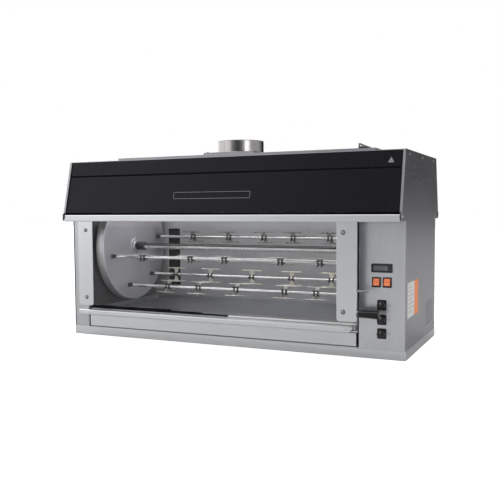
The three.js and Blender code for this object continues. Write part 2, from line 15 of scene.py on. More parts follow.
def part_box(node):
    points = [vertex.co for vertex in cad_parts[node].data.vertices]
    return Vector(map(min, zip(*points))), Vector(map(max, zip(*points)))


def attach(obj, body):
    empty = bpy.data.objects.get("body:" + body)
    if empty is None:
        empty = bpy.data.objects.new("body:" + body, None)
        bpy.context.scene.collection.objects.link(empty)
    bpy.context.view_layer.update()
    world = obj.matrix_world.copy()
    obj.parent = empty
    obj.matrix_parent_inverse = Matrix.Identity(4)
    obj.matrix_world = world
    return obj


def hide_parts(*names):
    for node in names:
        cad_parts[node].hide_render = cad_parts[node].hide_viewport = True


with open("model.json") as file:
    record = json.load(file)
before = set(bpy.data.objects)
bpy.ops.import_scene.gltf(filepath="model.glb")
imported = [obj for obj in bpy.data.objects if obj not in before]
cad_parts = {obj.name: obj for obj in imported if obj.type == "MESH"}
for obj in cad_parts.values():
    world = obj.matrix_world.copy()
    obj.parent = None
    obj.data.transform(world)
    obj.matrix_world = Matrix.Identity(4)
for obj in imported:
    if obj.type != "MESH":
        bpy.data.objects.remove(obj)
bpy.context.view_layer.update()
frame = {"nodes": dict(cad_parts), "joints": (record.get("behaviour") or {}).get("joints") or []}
LOG = logging.getLogger("rotisserie")
MM = 0.001
HINGE = (0.301, 0.458)  # the hood rails' axes: distance from the middle plane, and height
SKIN = 0.650  # the outer face of the side panels, from the middle

Colour = tuple[float, float, float]
Point = tuple[float, float]
Socket = bpy.types.NodeSocket


# ------------------------------------------------------------------ colours and directions
def rgb(red: int, green: int, blue: int) -> Colour:
    """Turns a display colour, 0 to 255 a channel, into linear light.

    Args:
        red, green, blue: the channels.

    Returns:
        The linear colour.
    """
    return tuple(
        (c / 255 / 12.92) if c <= 10 else ((c / 255 + 0.055) / 1.055) ** 2.4 for c in (red, green, blue)
    )


class Facing(Enum):
    """A face's own axes: across, up the face, and out of it, as columns in the frame."""

    FRONT = ((1, 0, 0), (0, 0, 1), (0, -1, 0))
    BACK = ((-1, 0, 0), (0, 0, 1), (0, 1, 0))
    RIGHT = ((0, 1, 0), (0, 0, 1), (1, 0, 0))
    LEFT = ((0, -1, 0), (0, 0, 1), (-1, 0, 0))
    UP = ((1, 0, 0), (0, 1, 0), (0, 0, 1))
    DOWN = ((1, 0, 0), (0, -1, 0), (0, 0, -1))

    def matrix(self, origin: Sequence[float] = (0, 0, 0)) -> Matrix:
        """The transform from face coordinates to the frame, with the face's zero at origin."""
        return Matrix.Translation(Vector(origin)) @ Matrix(self.value).transposed().to_4x4()


class Grain(Enum):
    """How the brush marks of a steel sheet run: noise stretch along X, Y and Z, per metre."""

    ALONG_X = (9.0, 900.0, 900.0)
    ALONG_Y = (900.0, 9.0, 900.0)
    ALONG_Z = (900.0, 900.0, 9.0)
    TURNED = (300.0, 300.0, 300.0)


# ------------------------------------------------------------------ outlines
def arc(centre: Point, radius: float, start: float, end: float, steps: int = 6) -> list[Point]:
    """Points on an arc, from angle start to end in degrees."""
    angles = [math.radians(start + (end - start) * i / steps) for i in range(steps + 1)]
    return [(centre[0] + radius * math.cos(a), centre[1] + radius * math.sin(a)) for a in angles]


def circle(centre: Point, radius: float, steps: int = 32) -> list[Point]:
    """A closed ring of points."""
    return arc(centre, radius, 0, 360 * (steps - 1) / steps, steps - 1)


def rounded(
    left: float, right: float, bottom: float, top: float, radius: float, steps: int = 4
) -> list[Point]:
    """A rectangle with round corners.

    Args:
        left, right, bottom, top: its edges.
        radius: of the corners.
        steps: parts of each corner.

    Returns:
        The closed outline.
    """
    r = radius
    return [
        *arc((right - r, bottom + r), r, -90, 0, steps), *arc((right - r, top - r), r, 0, 90, steps),
        *arc((left + r, top - r), r, 90, 180, steps), *arc((left + r, bottom + r), r, 180, 270, steps),
    ]


def centred(
    x: float, y: float, width: float, height: float, radius: float, steps: int = 4
) -> list[Point]:
    """A rectangle with round corners about its middle."""
    return rounded(x - width / 2, x + width / 2, y - height / 2, y + height / 2, radius, steps)


def inset(box: Sequence[Vector], plane: str, step: float, radius: float) -> list[Point]:
    """A box's outline in two of its axes, drawn in by a step.

    Args:
        box: its low and high corners.
        plane: the two axes, such as "xz".
        step: how far inside the box the outline runs.
        radius: of the corners.

    Returns:
        The closed outline.
    """
    low, high = box
    u, v = ("xyz".index(axis) for axis in plane)
    return rounded(low[u] + step, high[u] - step, low[v] + step, high[v] - step, radius)


def louvres(
    left: float, right: float, bottom: float, top: float, rows: int, columns: int
) -> list[list[Point]]:
    """Rows and columns of round-ended slots that fill a rectangle.

    Args:
        left, right, bottom, top: the rectangle's edges on the face.
        rows, columns: how many slots each way.

    Returns:
        One closed outline for each slot.
    """
    wide, high = (right - left) / columns, (top - bottom) / rows
    slots = []
    for row in range(rows):
        for column in range(columns):
            x, y = left + wide * (column + 0.08), bottom + high * (row + 0.38)
            slots.append(rounded(x, x + 0.84 * wide, y, y + 0.24 * high, 0.11 * high, 3))
    return slots


def folded(corners: Sequence[Point], thickness: float, bend: float) -> list[Point]:
    """The closed section of a folded sheet whose middle line runs through the corners.

    Args:
        corners: the middle line's corner points.
        thickness: of the sheet.
        bend: radius of each fold on the middle line.

    Returns:
        The outline, along one side of the sheet and back along the other.
    """
    line: list[tuple[Vector, Vector]] = []
    points = [Vector(c) for c in corners]
    for i, here in enumerate(points):
        before = (here - points[i - 1]).normalized() if i else None
        after = (points[i + 1] - here).normalized() if i + 1 < len(points) else None
        if before is None or after is None:
            along = after or before
            line.append((here, Vector((-along.y, along.x))))
            continue
        turn = before.angle_signed(after)
        set_back = bend * math.tan(abs(turn) / 2)
        for step in range(7):
            angle = -turn * step / 6
            heading = Vector(
                (
                    before.x * math.cos(angle) - before.y * math.sin(angle),
                    before.x * math.sin(angle) + before.y * math.cos(angle),
                )
            )
            side = Vector((-heading.y, heading.x))
            first = Vector((-before.y, before.x)) * (1 if -turn > 0 else -1)
            centre = here - before * set_back + first * bend
            line.append((centre - side * bend * (1 if -turn > 0 else -1), side))
    half = thickness / 2
    return [tuple(p + n * half) for p, n in line] + [tuple(p - n * half) for p, n in reversed(line)]


# ------------------------------------------------------------------ meshes
class Builder:
    """Collects the closed shells of one piece, in metres in the frame."""

    def __init__(self) -> None:
        """Starts an empty mesh."""
        self.mesh = bmesh.new()

    def block(self, low: Sequence[float], high: Sequence[float]) -> "Builder":
        """Adds a box between two corners.

        Args:
            low, high: opposite corners in the frame.

        Returns:
            The builder.
        """
        low, high = Vector(low), Vector(high)
        made = bmesh.ops.create_cube(self.mesh, size=1.0)
        place = Matrix.Translation((low + high) / 2) @ Matrix.Diagonal((*(high - low), 1))
        bmesh.ops.transform(self.mesh, matrix=place, verts=made["verts"])
        return self

    def prism(
        self, outline: Sequence[Point], facing: Facing, start: float, end: float,
        origin: Sequence[float] = (0, 0, 0),
    ) -> "Builder":
        """Draws an outline out along its face's normal.

        Args:
            outline: closed, in face coordinates.
            facing: the face it is drawn on.
            start, end: distances out of the face.
            origin: where the face's zero is.

        Returns:
            The builder.
        """
        place = facing.matrix(origin)
        rings = [
            [self.mesh.verts.new(place @ Vector((u, v, w))) for u, v in outline] for w in (start, end)
        ]
        count = len(outline)
        for i in range(count):
            j = (i + 1) % count
            self.mesh.faces.new((rings[0][i], rings[0][j], rings[1][j], rings[1][i]))
        self.mesh.faces.new(rings[0][::-1])
        self.mesh.faces.new(rings[1])
        return self

    def turned(
        self, profile: Sequence[Point], facing: Facing, origin: Sequence[float], segments: int = 48
    ) -> "Builder":
        """Turns a profile of (radius, distance out) about a face's normal.

        Args:
            profile: from axis to axis, or a loop that closes on itself.
            facing: the axis direction.
            origin: a point on the axis.
            segments: facets round the axis.

        Returns:
            The builder.
        """
        place = facing.matrix(origin)
        rings: list[list[bmesh.types.BMVert]] = []
        for radius, out in profile:
            count = 1 if radius < 1e-7 else segments
            angles = [2 * math.pi * i / segments for i in range(count)]
            spots = [Vector((radius * math.cos(a), radius * math.sin(a), out)) for a in angles]
            rings.append([self.mesh.verts.new(place @ s) for s in spots])
        pairs = list(zip(rings, rings[1:]))
        if len(rings[0]) > 1 and len(rings[-1]) > 1:
            pairs.append((rings[-1], rings[0]))
        for low, high in pairs:
            for i in range(segments):
                j = (i + 1) % segments
                corners = [
                    low[i % len(low)], low[j % len(low)], high[j % len(high)], high[i % len(high)]
                ]
                distinct = list(dict.fromkeys(corners))
                if len(distinct) > 2:
                    self.mesh.faces.new(distinct)
        return self

    def tube(
        self, path: Sequence[Sequence[float]], radii: Sequence[float] | float, sides: int = 12
    ) -> "Builder":
        """Sweeps a round section along a path.

        Args:
            path: points in the frame.
            radii: one radius, or one for each point.
            sides: facets round the section.

        Returns:
            The builder.
        """
        points = [Vector(p) for p in path]
        sizes = [radii] * len(points) if isinstance(radii, float) else list(radii)
        headings = []
        for i in range(len(points)):
            headings.append((points[min(i + 1, len(points) - 1)] - points[max(i - 1, 0)]).normalized())
        across = headings[0].orthogonal().normalized()
        rings = []
        for here, heading, size in zip(points, headings, sizes):
            across = (across - heading * across.dot(heading)).normalized()
            other = heading.cross(across)
            turns = [2 * math.pi * i / sides for i in range(sides)]
            ring = [here + (across * math.cos(a) + other * math.sin(a)) * size for a in turns]
            rings.append([self.mesh.verts.new(p) for p in ring])
        for low, high in zip(rings, rings[1:]):
            for i in range(sides):
                j = (i + 1) % sides
                self.mesh.faces.new((low[i], low[j], high[j], high[i]))
        self.mesh.faces.new(rings[0][::-1])
        self.mesh.faces.new(rings[-1])
        return self

    def plate(
        self, outline: Sequence[Point], facing: Facing, back: float, thickness: float,
        holes: Iterable[Sequence[Point]] = (), edge: float = 0.3 * MM, place: Matrix | None = None,
    ) -> "Builder":
        """Cuts a flat sheet with holes and softened edges.

        Args:
            outline: closed, in face coordinates.
            facing: the face that the sheet looks out of.
            back: the rear surface's distance out of the face.
            thickness: of the sheet.
            holes: closed outlines cut through it.
            edge: radius of every edge.
            place: a transform used instead of the face's own.

        Returns:
            The builder.
        """
        curve = bpy.data.curves.new("sheet", "CURVE")
        curve.dimensions, curve.fill_mode = "2D", "BOTH"
        curve.extrude, curve.bevel_depth, curve.bevel_resolution = thickness / 2 - edge, edge, 1
        for loop in (outline, *holes):
            spline = curve.splines.new("POLY")
            spline.points.add(len(loop) - 1)
            for spot, (u, v) in zip(spline.points, loop):
                spot.co = (u, v, 0, 1)
            spline.use_cyclic_u = True
        drawn = bpy.data.objects.new("sheet", curve)
        bpy.context.scene.collection.objects.link(drawn)
        mesh = bpy.data.meshes.new_from_object(
            drawn.evaluated_get(bpy.context.evaluated_depsgraph_get())
        )
        mesh.transform((place or facing.matrix()) @ Matrix.Translation((0, 0, back + thickness / 2)))
        sheet = bmesh.new()
        sheet.from_mesh(mesh)
        bmesh.ops.remove_doubles(sheet, verts=sheet.verts, dist=2e-5)
        sheet.to_mesh(mesh)
        sheet.free()
        self.mesh.from_mesh(mesh)
        bpy.data.objects.remove(drawn)
        bpy.data.curves.remove(curve)
        bpy.data.meshes.remove(mesh)
        return self

    def soften(self, width: float, segments: int = 2, angle: float = 30) -> "Builder":
        """Rounds every edge made so far that is sharper than angle degrees.

        Args:
            width: of the rounding.
            segments: facets across it.
            angle: in degrees.

        Returns:
            The builder.
        """
        limit = math.radians(angle)
        sharp = [e for e in self.mesh.edges if e.is_manifold and e.calc_face_angle() > limit]
        bmesh.ops.bevel(
            self.mesh, geom=sharp, offset=width, segments=segments, profile=0.5, affect="EDGES",
            clamp_overlap=True,
        )
        return self

    def turn_x(self, degrees: float, centre: Sequence[float]) -> "Builder":
        """Turns everything made so far about a line along X.

        Args:
            degrees: how far.
            centre: a point on the line.

        Returns:
            The builder.
        """
        turn = Matrix.Rotation(math.radians(degrees), 4, "X")
        bmesh.ops.rotate(self.mesh, cent=Vector(centre), matrix=turn, verts=self.mesh.verts)
        return self

    def build(
        self, name: str, finish: "Finish", body: str = "oven", slot: str | None = None,
        stands_for: Iterable[str] = (), smooth_angle: float = 35,
    ) -> bpy.types.Object:
        """Makes the piece, dresses it and lets it ride on its body.

        Args:
            name: of the piece.
            finish: what it is made of.
            body: the frame's body that carries it.
            slot: not used.
            stands_for: frame nodes that it hides.
            smooth_angle: edges sharper than this stay crisp.

        Returns:
            The new object.
        """
        bmesh.ops.recalc_face_normals(self.mesh, faces=self.mesh.faces)
        mesh = bpy.data.meshes.new(name)
        self.mesh.to_mesh(mesh)
        self.mesh.free()
        mesh.shade_smooth()
        mesh.set_sharp_from_angle(angle=math.radians(smooth_angle))
        piece = bpy.data.objects.new(name, mesh)
        bpy.context.scene.collection.objects.link(piece)
        weighted = piece.modifiers.new("flat faces lead", "WEIGHTED_NORMAL")
        weighted.keep_sharp, weighted.weight = True, 100
        mesh.materials.append(finish.material())
        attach(piece, body)
        if stands_for:
            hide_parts(*stands_for)
        LOG.info("%s: %d faces, rides on %s", name, len(mesh.polygons), body)
        return piece


# ------------------------------------------------------------------ shader graphs
class Graph:
    """Adds and joins shader nodes in one tree."""

    def __init__(self, tree: bpy.types.NodeTree) -> None:
        """Works on the given tree."""
        self.tree = tree

    def node(self, kind: str, inputs: dict | None = None, **settings: object) -> bpy.types.Node:
        """Adds a node.

        Args:
            kind: the node's type name, without its ShaderNode prefix.
            inputs: a socket to join, or a value to set, for each input by name or number.
            settings: the node's own properties.

        Returns:
            The node.
        """
        made = self.tree.nodes.new("ShaderNode" + kind)
        for key, value in settings.items():
            setattr(made, key, value)
        for key, value in (inputs or {}).items():
            if isinstance(value, Socket):
                self.tree.links.new(value, made.inputs[key])
            else:
                made.inputs[key].default_value = value
        return made

    def maths(self, operation: str, first: object, second: object, clamp: bool) -> Socket:
        """A math node's result."""
        return self.node("Math", {0: first, 1: second}, operation=operation, use_clamp=clamp).outputs[0]

    def plus(self, first: object, second: object) -> Socket:
        """The first value and the second together."""
        return self.maths("ADD", first, second, False)

    def minus(self, first: object, second: object, clamp: bool = False) -> Socket:
        """The first value less the second."""
        return self.maths("SUBTRACT", first, second, clamp)

    def times(self, first: object, second: object, clamp: bool = False) -> Socket:
        """The first value times the second."""
        return self.maths("MULTIPLY", first, second, clamp)

    def larger(self, first: object, second: object) -> Socket:
        """The larger of two values."""
        return self.maths("MAXIMUM", first, second, False)

    def place(self) -> Socket:
        """The shaded point, in the object's own coordinates."""
        return self.node("TexCoord").outputs["Object"]

    def stretched(self, vector: object, factors: object) -> Socket:
        """A vector multiplied axis by axis."""
        return self.node("VectorMath", {0: vector, 1: factors}, operation="MULTIPLY").outputs[0]

    def span(self, value: object, low: float, high: float, to_low: float, to_high: float) -> Socket:
        """Value, mapped from one range to another and held inside it.

        Args:
            value: a socket or a number.
            low, high: the range it comes in.
            to_low, to_high: the range it leaves in.

        Returns:
            The mapped value.
        """
        inputs = {
            "Value": value, "From Min": low, "From Max": high, "To Min": to_low, "To Max": to_high
        }
        return self.node("MapRange", inputs).outputs[0]

    def mix(self, share: object, first: object, second: object, mode: str = "MIX") -> Socket:
        """Two colours mixed, with share of the second.

        Args:
            share: of the second colour, 0 to 1.
            first, second: sockets or colours.
            mode: how they blend.

        Returns:
            The mixed colour.
        """
        spread = [(*c, 1.0) if isinstance(c, tuple) and len(c) == 3 else c for c in (first, second)]
        inputs = {0: share, 6: spread[0], 7: spread[1]}
        return self.node("Mix", inputs, data_type="RGBA", blend_type=mode).outputs[2]

    def noise(
        self, vector: object, scale: float, detail: float = 3.0, distortion: float = 0.0
    ) -> Socket:
        """A noise texture's value."""
        inputs = {"Vector": vector, "Scale": scale, "Detail": detail, "Distortion": distortion}
        return self.node("TexNoise", inputs).outputs[0]

    def group(self, tree: bpy.types.NodeTree, inputs: dict | None = None) -> bpy.types.NodeOutputs:
        """Places a shared effect with its own values, and gives its outputs."""
        return self.node("Group", inputs, node_tree=tree).outputs


def effect(
    name: str, inputs: dict[str, float | tuple], outputs: Sequence[str],
    fill: Callable[[Graph, dict], dict],
) -> bpy.types.NodeTree:
    """Makes a shared effect once, and gives it again after that.

    Args:
        name: of the effect.
        inputs: each input's default, a number or a vector.
        outputs: their names; one called Colour is a colour, the others are numbers.
        fill: builds the nodes from the input sockets and gives the output sockets.

    Returns:
        The node group.
    """
    known = bpy.data.node_groups.get(name)
    if known:
        return known
    tree = bpy.data.node_groups.new(name, "ShaderNodeTree")
    for key, default in inputs.items():
        kind = "NodeSocketVector" if isinstance(default, tuple) else "NodeSocketFloat"
        tree.interface.new_socket(name=key, in_out="INPUT", socket_type=kind).default_value = default
    for key in outputs:
        kind = "NodeSocketColor" if key == "Colour" else "NodeSocketFloat"
        tree.interface.new_socket(name=key, in_out="OUTPUT", socket_type=kind)
    given = tree.nodes.new("NodeGroupInput").outputs
    taken = tree.nodes.new("NodeGroupOutput").inputs
    for key, socket in fill(Graph(tree), {key: given[key] for key in inputs}).items():
        tree.links.new(socket, taken[key])
    return tree


def brushed_grain() -> bpy.types.NodeTree:
    """Brush marks and slow clouding of a steel sheet."""

    def fill(g: Graph, given: dict) -> dict:
        """Stretches noise along the brush direction.

        Args:
            g: the graph to build in.
            given: the input sockets.

        Returns:
            The output sockets by name.
        """
        place = g.place()
        pulled = g.stretched(place, given["Stretch"])
        fine = g.noise(pulled, 1.0, 4.0)
        long = g.noise(g.stretched(pulled, (0.12, 0.12, 0.12)), 1.0, 2.0)
        streak = g.plus(g.times(fine, 0.6), g.times(long, 0.4))
        return {"Streak": g.span(streak, 0.32, 0.68, 0.0, 1.0), "Mottle": g.noise(place, 5.0, 2.0, 0.4)}

    return effect("Brushed grain", {"Stretch": Grain.ALONG_X.value}, ("Streak", "Mottle"), fill)


def edge_wear() -> bpy.types.NodeTree:
    """A mask that is bright along worn edges."""

    def fill(g: Graph, given: dict) -> dict:
        """Compares a rounded normal with the flat one.

        Args:
            g: the graph to build in.
            given: the input sockets.

        Returns:
            The output sockets by name.
        """
        soft = g.node("Bevel", {"Radius": given["Width"]}, samples=4).outputs[0]
        flat = g.node("NewGeometry").outputs["Normal"]
        alike = g.node("VectorMath", {0: soft, 1: flat}, operation="DOT_PRODUCT").outputs["Value"]
        worn = g.span(g.minus(1.0, alike), 0.02, 0.2, 0.0, 1.0)
        broken = g.span(g.noise(g.place(), 160.0), 0.35, 0.65, 0.25, 1.0)
        return {"Wear": g.times(worn, broken)}

    return effect("Edge wear", {"Width": 0.8 * MM}, ("Wear",), fill)


def hand_smears() -> bpy.types.NodeTree:
    """Wiped streaks and finger marks that change the gloss."""

    def fill(g: Graph, given: dict) -> dict:
        """Multiplies slow clouds by short wiping marks.

        Args:
            g: the graph to build in.
            given: the input sockets.

        Returns:
            The output sockets by name.
        """
        place = g.place()
        clouds = g.span(g.noise(place, 7.0, 3.0, 1.2), 0.45, 0.7, 0.0, 1.0)
        wiped = g.stretched(place, (14.0, 30.0, 70.0))
        marks = g.span(g.noise(wiped, 1.0, 3.0, 0.8), 0.4, 0.7, 0.0, 1.0)
        return {"Smear": g.times(g.times(clouds, marks), given["Amount"])}

    return effect("Hand smears", {"Amount": 1.0}, ("Smear",), fill)


def grease_splash() -> bpy.types.NodeTree:
    """Spots and a baked film of fat, with a mask and a colour that varies."""

    def fill(g: Graph, given: dict) -> dict:
        """Scatters round spots and adds a cloudy film.

        Args:
            g: the graph to build in.
            given: the input sockets.

        Returns:
            The output sockets by name.
        """
        place = g.place()
        cells = g.node("TexVoronoi", {"Vector": place, "Scale": 150.0, "Randomness": 1.0})
        size = g.span(g.noise(place, 26.0, 2.0), 0.45, 0.75, 0.0, 0.34)
        spots = g.span(g.minus(size, cells.outputs["Distance"]), 0.0, 0.08, 0.0, 1.0)
        film = g.span(g.noise(place, 9.0, 5.0, 0.6), 0.42, 0.78, 0.0, 0.75)
        both = g.larger(spots, film)
        colour = g.mix(g.noise(place, 40.0), rgb(78, 56, 34), rgb(128, 98, 60))
        return {"Mask": g.times(both, given["Cover"], True), "Colour": colour, "Spots": spots}

    outputs = ("Mask", "Colour", "Spots")
    return effect("Grease splash", {"Cover": 1.0}, outputs, fill)


def settled_dust() -> bpy.types.NodeTree:
    """Dust that lies on what faces up."""

    def fill(g: Graph, given: dict) -> dict:
        """Masks noise by how far the surface faces up.

        Args:
            g: the graph to build in.
            given: the input sockets.

        Returns:
            The output sockets by name.
        """
        up = g.node("SeparateXYZ", {0: g.node("NewGeometry").outputs["Normal"]}).outputs[2]
        clouds = g.span(g.noise(g.place(), 18.0, 6.0), 0.35, 0.75, 0.2, 1.0)
        return {"Dust": g.times(g.times(g.span(up, 0.4, 1.0, 0.0, 1.0), clouds), given["Amount"])}

    return effect("Settled dust", {"Amount": 0.5}, ("Dust",), fill)


def fine_pebble() -> bpy.types.NodeTree:
    """Fine orange peel of paint and moulded plastic."""

    def fill(g: Graph, given: dict) -> dict:
        """Gives two sizes of noise, one as height and one as speckle.

        Args:
            g: the graph to build in.
            given: the input sockets.

        Returns:
            The output sockets by name.
        """
        place = g.place()
        sized = g.node("VectorMath", {0: place, "Scale": given["Scale"]}, operation="SCALE").outputs[0]
        return {"Height": g.noise(sized, 1.0, 2.0), "Speckle": g.noise(sized, 0.21, 4.0)}

    outputs = ("Height", "Speckle")
    return effect("Fine pebble", {"Scale": 900.0}, outputs, fill)


def heat_tint() -> bpy.types.NodeTree:
    """Straw, brown and blue oxide colours of heated steel."""

    def fill(g: Graph, given: dict) -> dict:
        """Runs bands of oxide colour through slow noise.

        Args:
            g: the graph to build in.
            given: the input sockets.

        Returns:
            The output sockets by name.
        """
        cloud = g.noise(g.place(), 6.0, 3.0, 0.5)
        ramp = g.node("ValToRGB", {0: cloud})
        stops = [
            (0.30, (0.80, 0.78, 0.74)), (0.46, (0.74, 0.60, 0.38)), (0.56, (0.48, 0.34, 0.30)),
            (0.70, (0.36, 0.42, 0.56)),
        ]
        ramp.color_ramp.elements[0].position, ramp.color_ramp.elements[1].position = stops[0][0], stops[
            -1
        ][0]
        for position, _ in stops[1:-1]:
            ramp.color_ramp.elements.new(position)
        for element, (_, colour) in zip(ramp.color_ramp.elements, stops):
            element.color = (*colour, 1.0)
        share = g.times(g.span(cloud, 0.3, 0.75, 0.25, 1.0), given["Amount"], True)
        return {"Colour": ramp.outputs[0], "Share": share}

    return effect("Heat tint", {"Amount": 0.5}, ("Colour", "Share"), fill)


# ------------------------------------------------------------------ finishes
@dataclass(frozen=True)
class Finish:
    """What a piece is made of. Each kind wires its own nodes in wire()."""

    name: str
    slot: str

    def material(self) -> bpy.types.Material:
        """The material, made on first use."""
        known = bpy.data.materials.get(self.name)
        if known:
            return known
        made = bpy.data.materials.new(self.name)
        made.use_nodes = True
        made.node_tree.nodes.clear()
        graph = Graph(made.node_tree)
        surface = self.wire(graph)
        graph.node("OutputMaterial", {"Surface": surface})
        return made

    def wire(self, g: Graph) -> Socket:
        """Builds the shader and gives its output."""
        raise NotImplementedError

    @staticmethod
    def bump(g: Graph, height: object, distance: float, strength: float = 0.5) -> Socket:
        """A bump normal from a height."""
        return g.node("Bump", {"Height": height, "Distance": distance, "Strength": strength}).outputs[0]


@dataclass(frozen=True)
class BrushedSteel(Finish):
    """Stainless sheet with brush marks, smears, worn edges and, inside, cooked-on fat."""

    light: Colour = rgb(206, 208, 210)
    dark: Colour = rgb(190, 192, 195)
    roughness: float = 0.34
    grain: Grain = Grain.ALONG_X
    grease: float = 0.0
    dust: float = 0.12
    wear: float = 0.6

    def wire(self, g: Graph) -> Socket:
        """Brushed metal under smears, dust and fat.

        Args:
            g: the material's graph.

        Returns:
            The shader.
        """
        grain = g.group(brushed_grain(), {"Stretch": self.grain.value})
        smear = g.group(hand_smears(), {"Amount": 1.0})["Smear"]
        dust = g.group(settled_dust(), {"Amount": self.dust})["Dust"]
        share = g.plus(g.times(grain["Streak"], 0.6), g.times(grain["Mottle"], 0.4))
        colour = g.mix(share, self.dark, self.light)
        if self.wear:
            worn = g.times(g.group(edge_wear(), {"Width": 0.9 * MM})["Wear"], self.wear)
            colour = g.mix(worn, colour, rgb(232, 233, 235))
        colour = g.mix(dust, colour, rgb(170, 166, 158))
        metal = g.minus(1.0, dust)
        rough = g.span(grain["Streak"], 0.0, 1.0, self.roughness - 0.005, self.roughness + 0.02)
        rough = g.plus(rough, g.times(smear, 0.05))
        height = grain["Streak"]
        if self.grease:
            fat = g.group(grease_splash(), {"Cover": self.grease})
            colour = g.mix(fat["Mask"], colour, fat["Colour"])
            metal = g.minus(metal, g.times(fat["Mask"], 0.7), True)
            rough = g.minus(rough, g.times(fat["Spots"], 0.12))
            height = g.plus(height, g.times(fat["Spots"], 2.0))
        inputs = {
            "Base Color": colour, "Metallic": metal, "Roughness": rough,
            "Normal": self.bump(g, height, 0.000002, 0.1),
        }
        return g.node("BsdfPrincipled", inputs).outputs[0]


@dataclass(frozen=True)
class PolishedSteel(Finish):
    """Bright round bar, tinted by heat."""

    colour: Colour = rgb(214, 212, 208)
    roughness: float = 0.17
    tint: float = 0.25
    grease: float = 0.25
    top_shade: float = 0.0

    def wire(self, g: Graph) -> Socket:
        """Polished metal with oxide colours, specks of fat and, on its upper side, painted shade.

        Args:
            g: the material's graph.

        Returns:
            The shader.
        """
        heat = g.group(heat_tint(), {"Amount": self.tint})
        fat = g.group(grease_splash(), {"Cover": self.grease})
        pebble = g.group(fine_pebble(), {"Scale": 700.0})
        colour = g.mix(pebble["Speckle"], self.colour, tuple(0.86 * c for c in self.colour))
        colour = g.mix(heat["Share"], colour, heat["Colour"], "MULTIPLY")
        colour = g.mix(fat["Mask"], colour, fat["Colour"])
        # Painted shade: the side that faces up at rest is mixed towards near black, so the bar reads
        # dark on top.
        if self.top_shade:
            upper = g.node("SeparateXYZ", {0: g.node("TexCoord").outputs["Normal"]}).outputs[2]
            colour = g.mix(g.span(upper, 0.05, 0.3, 0.0, self.top_shade), colour, rgb(40, 38, 37))
        rough = g.span(pebble["Speckle"], 0.3, 0.7, self.roughness - 0.04, self.roughness + 0.1)
        metal = g.minus(1.0, g.times(fat["Mask"], 0.8), True)
        inputs = {
            "Base Color": colour, "Metallic": metal, "Roughness": rough,
            "Normal": self.bump(g, pebble["Height"], 0.00003),
        }
        return g.node("BsdfPrincipled", inputs).outputs[0]


@dataclass(frozen=True)
class Coating(Finish):
    """Paint, enamel or moulded plastic: a coloured skin with fine peel, scuffs and dust."""

    colour: Colour = rgb(40, 39, 44)
    lift: Colour = rgb(54, 53, 58)
    roughness: float = 0.34
    peel: float = 900.0
    depth: float = 0.00004
    scuff: Colour = rgb(120, 120, 124)
    wear: float = 0.25
    shine: float = 0.4
    coat: float = 0.0
    glow: float = 0.0
    dust: float = 0.16

    def wire(self, g: Graph) -> Socket:
        """A dielectric skin whose colour and gloss vary a little.

        Args:
            g: the material's graph.

        Returns:
            The shader.
        """
        pebble = g.group(fine_pebble(), {"Scale": self.peel})
        smear = g.group(hand_smears(), {"Amount": 1.0})["Smear"]
        dust = g.group(settled_dust(), {"Amount": self.dust})["Dust"]
        worn = g.times(g.group(edge_wear(), {"Width": 0.6 * MM})["Wear"], self.wear)
        colour = g.mix(g.span(pebble["Speckle"], 0.3, 0.7, 0.0, 0.6), self.colour, self.lift)
        colour = g.mix(worn, colour, self.scuff)
        colour = g.mix(dust, colour, rgb(150, 147, 140))
        rough = g.span(pebble["Speckle"], 0.3, 0.7, self.roughness - 0.05, self.roughness + 0.06)
        rough = g.plus(rough, g.times(smear, 0.14))
        inputs = {
            "Base Color": colour, "Roughness": rough, "Specular IOR Level": self.shine,
            "Coat Weight": self.coat, "Normal": self.bump(g, pebble["Height"], self.depth),
        }
        if self.glow:
            inputs |= {"Emission Color": colour, "Emission Strength": self.glow}
        return g.node("BsdfPrincipled", inputs).outputs[0]


@dataclass(frozen=True)
class CastMetal(Finish):
    """Machined or cast working metal with an oily film."""

    colour: Colour = rgb(112, 114, 118)
    shade: Colour = rgb(70, 70, 74)
    roughness: float = 0.46

    def wire(self, g: Graph) -> Socket:
        """Rough metal, darker in patches and brighter at its edges.

        Args:
            g: the material's graph.

        Returns:
            The shader.
        """
        pebble = g.group(fine_pebble(), {"Scale": 420.0})
        fat = g.group(grease_splash(), {"Cover": 0.35})
        worn = g.group(edge_wear(), {"Width": 0.7 * MM})["Wear"]
        colour = g.mix(g.span(pebble["Speckle"], 0.3, 0.7, 0.0, 1.0), self.shade, self.colour)
        colour = g.mix(g.times(worn, 0.6), colour, rgb(196, 196, 198))
        colour = g.mix(fat["Mask"], colour, fat["Colour"])
        rough = g.span(pebble["Speckle"], 0.2, 0.8, self.roughness - 0.1, self.roughness + 0.14)
        metal = g.minus(1.0, g.times(fat["Mask"], 0.8), True)
        inputs = {
            "Base Color": colour, "Metallic": metal, "Roughness": rough,
            "Normal": self.bump(g, pebble["Height"], 0.0003),
        }
        return g.node("BsdfPrincipled", inputs).outputs[0]


@dataclass(frozen=True)
class Tile(Finish):
    """Pierced burner tile, scorched in places."""

    def wire(self, g: Graph) -> Socket:
        """Pale ceramic with rows of dark pores.

        Args:
            g: the material's graph.

        Returns:
            The shader.
        """
        place = g.place()
        pores = g.node(
            "TexVoronoi", {"Vector": place, "Scale": 320.0, "Randomness": 0.15}
        ).outputs["Distance"]
        open_pore = g.span(pores, 0.16, 0.28, 1.0, 0.0)
        scorch = g.span(g.noise(place, 12.0, 4.0), 0.45, 0.7, 0.0, 0.7)
        colour = g.mix(scorch, rgb(206, 190, 162), rgb(128, 96, 70))
        colour = g.mix(open_pore, colour, rgb(52, 42, 36))
        rough = g.span(scorch, 0.0, 0.7, 0.78, 0.92)
        normal = self.bump(g, g.minus(1.0, open_pore), 0.0008)
        return g.node(
            "BsdfPrincipled", {"Base Color": colour, "Roughness": rough, "Normal": normal}
        ).outputs[0]


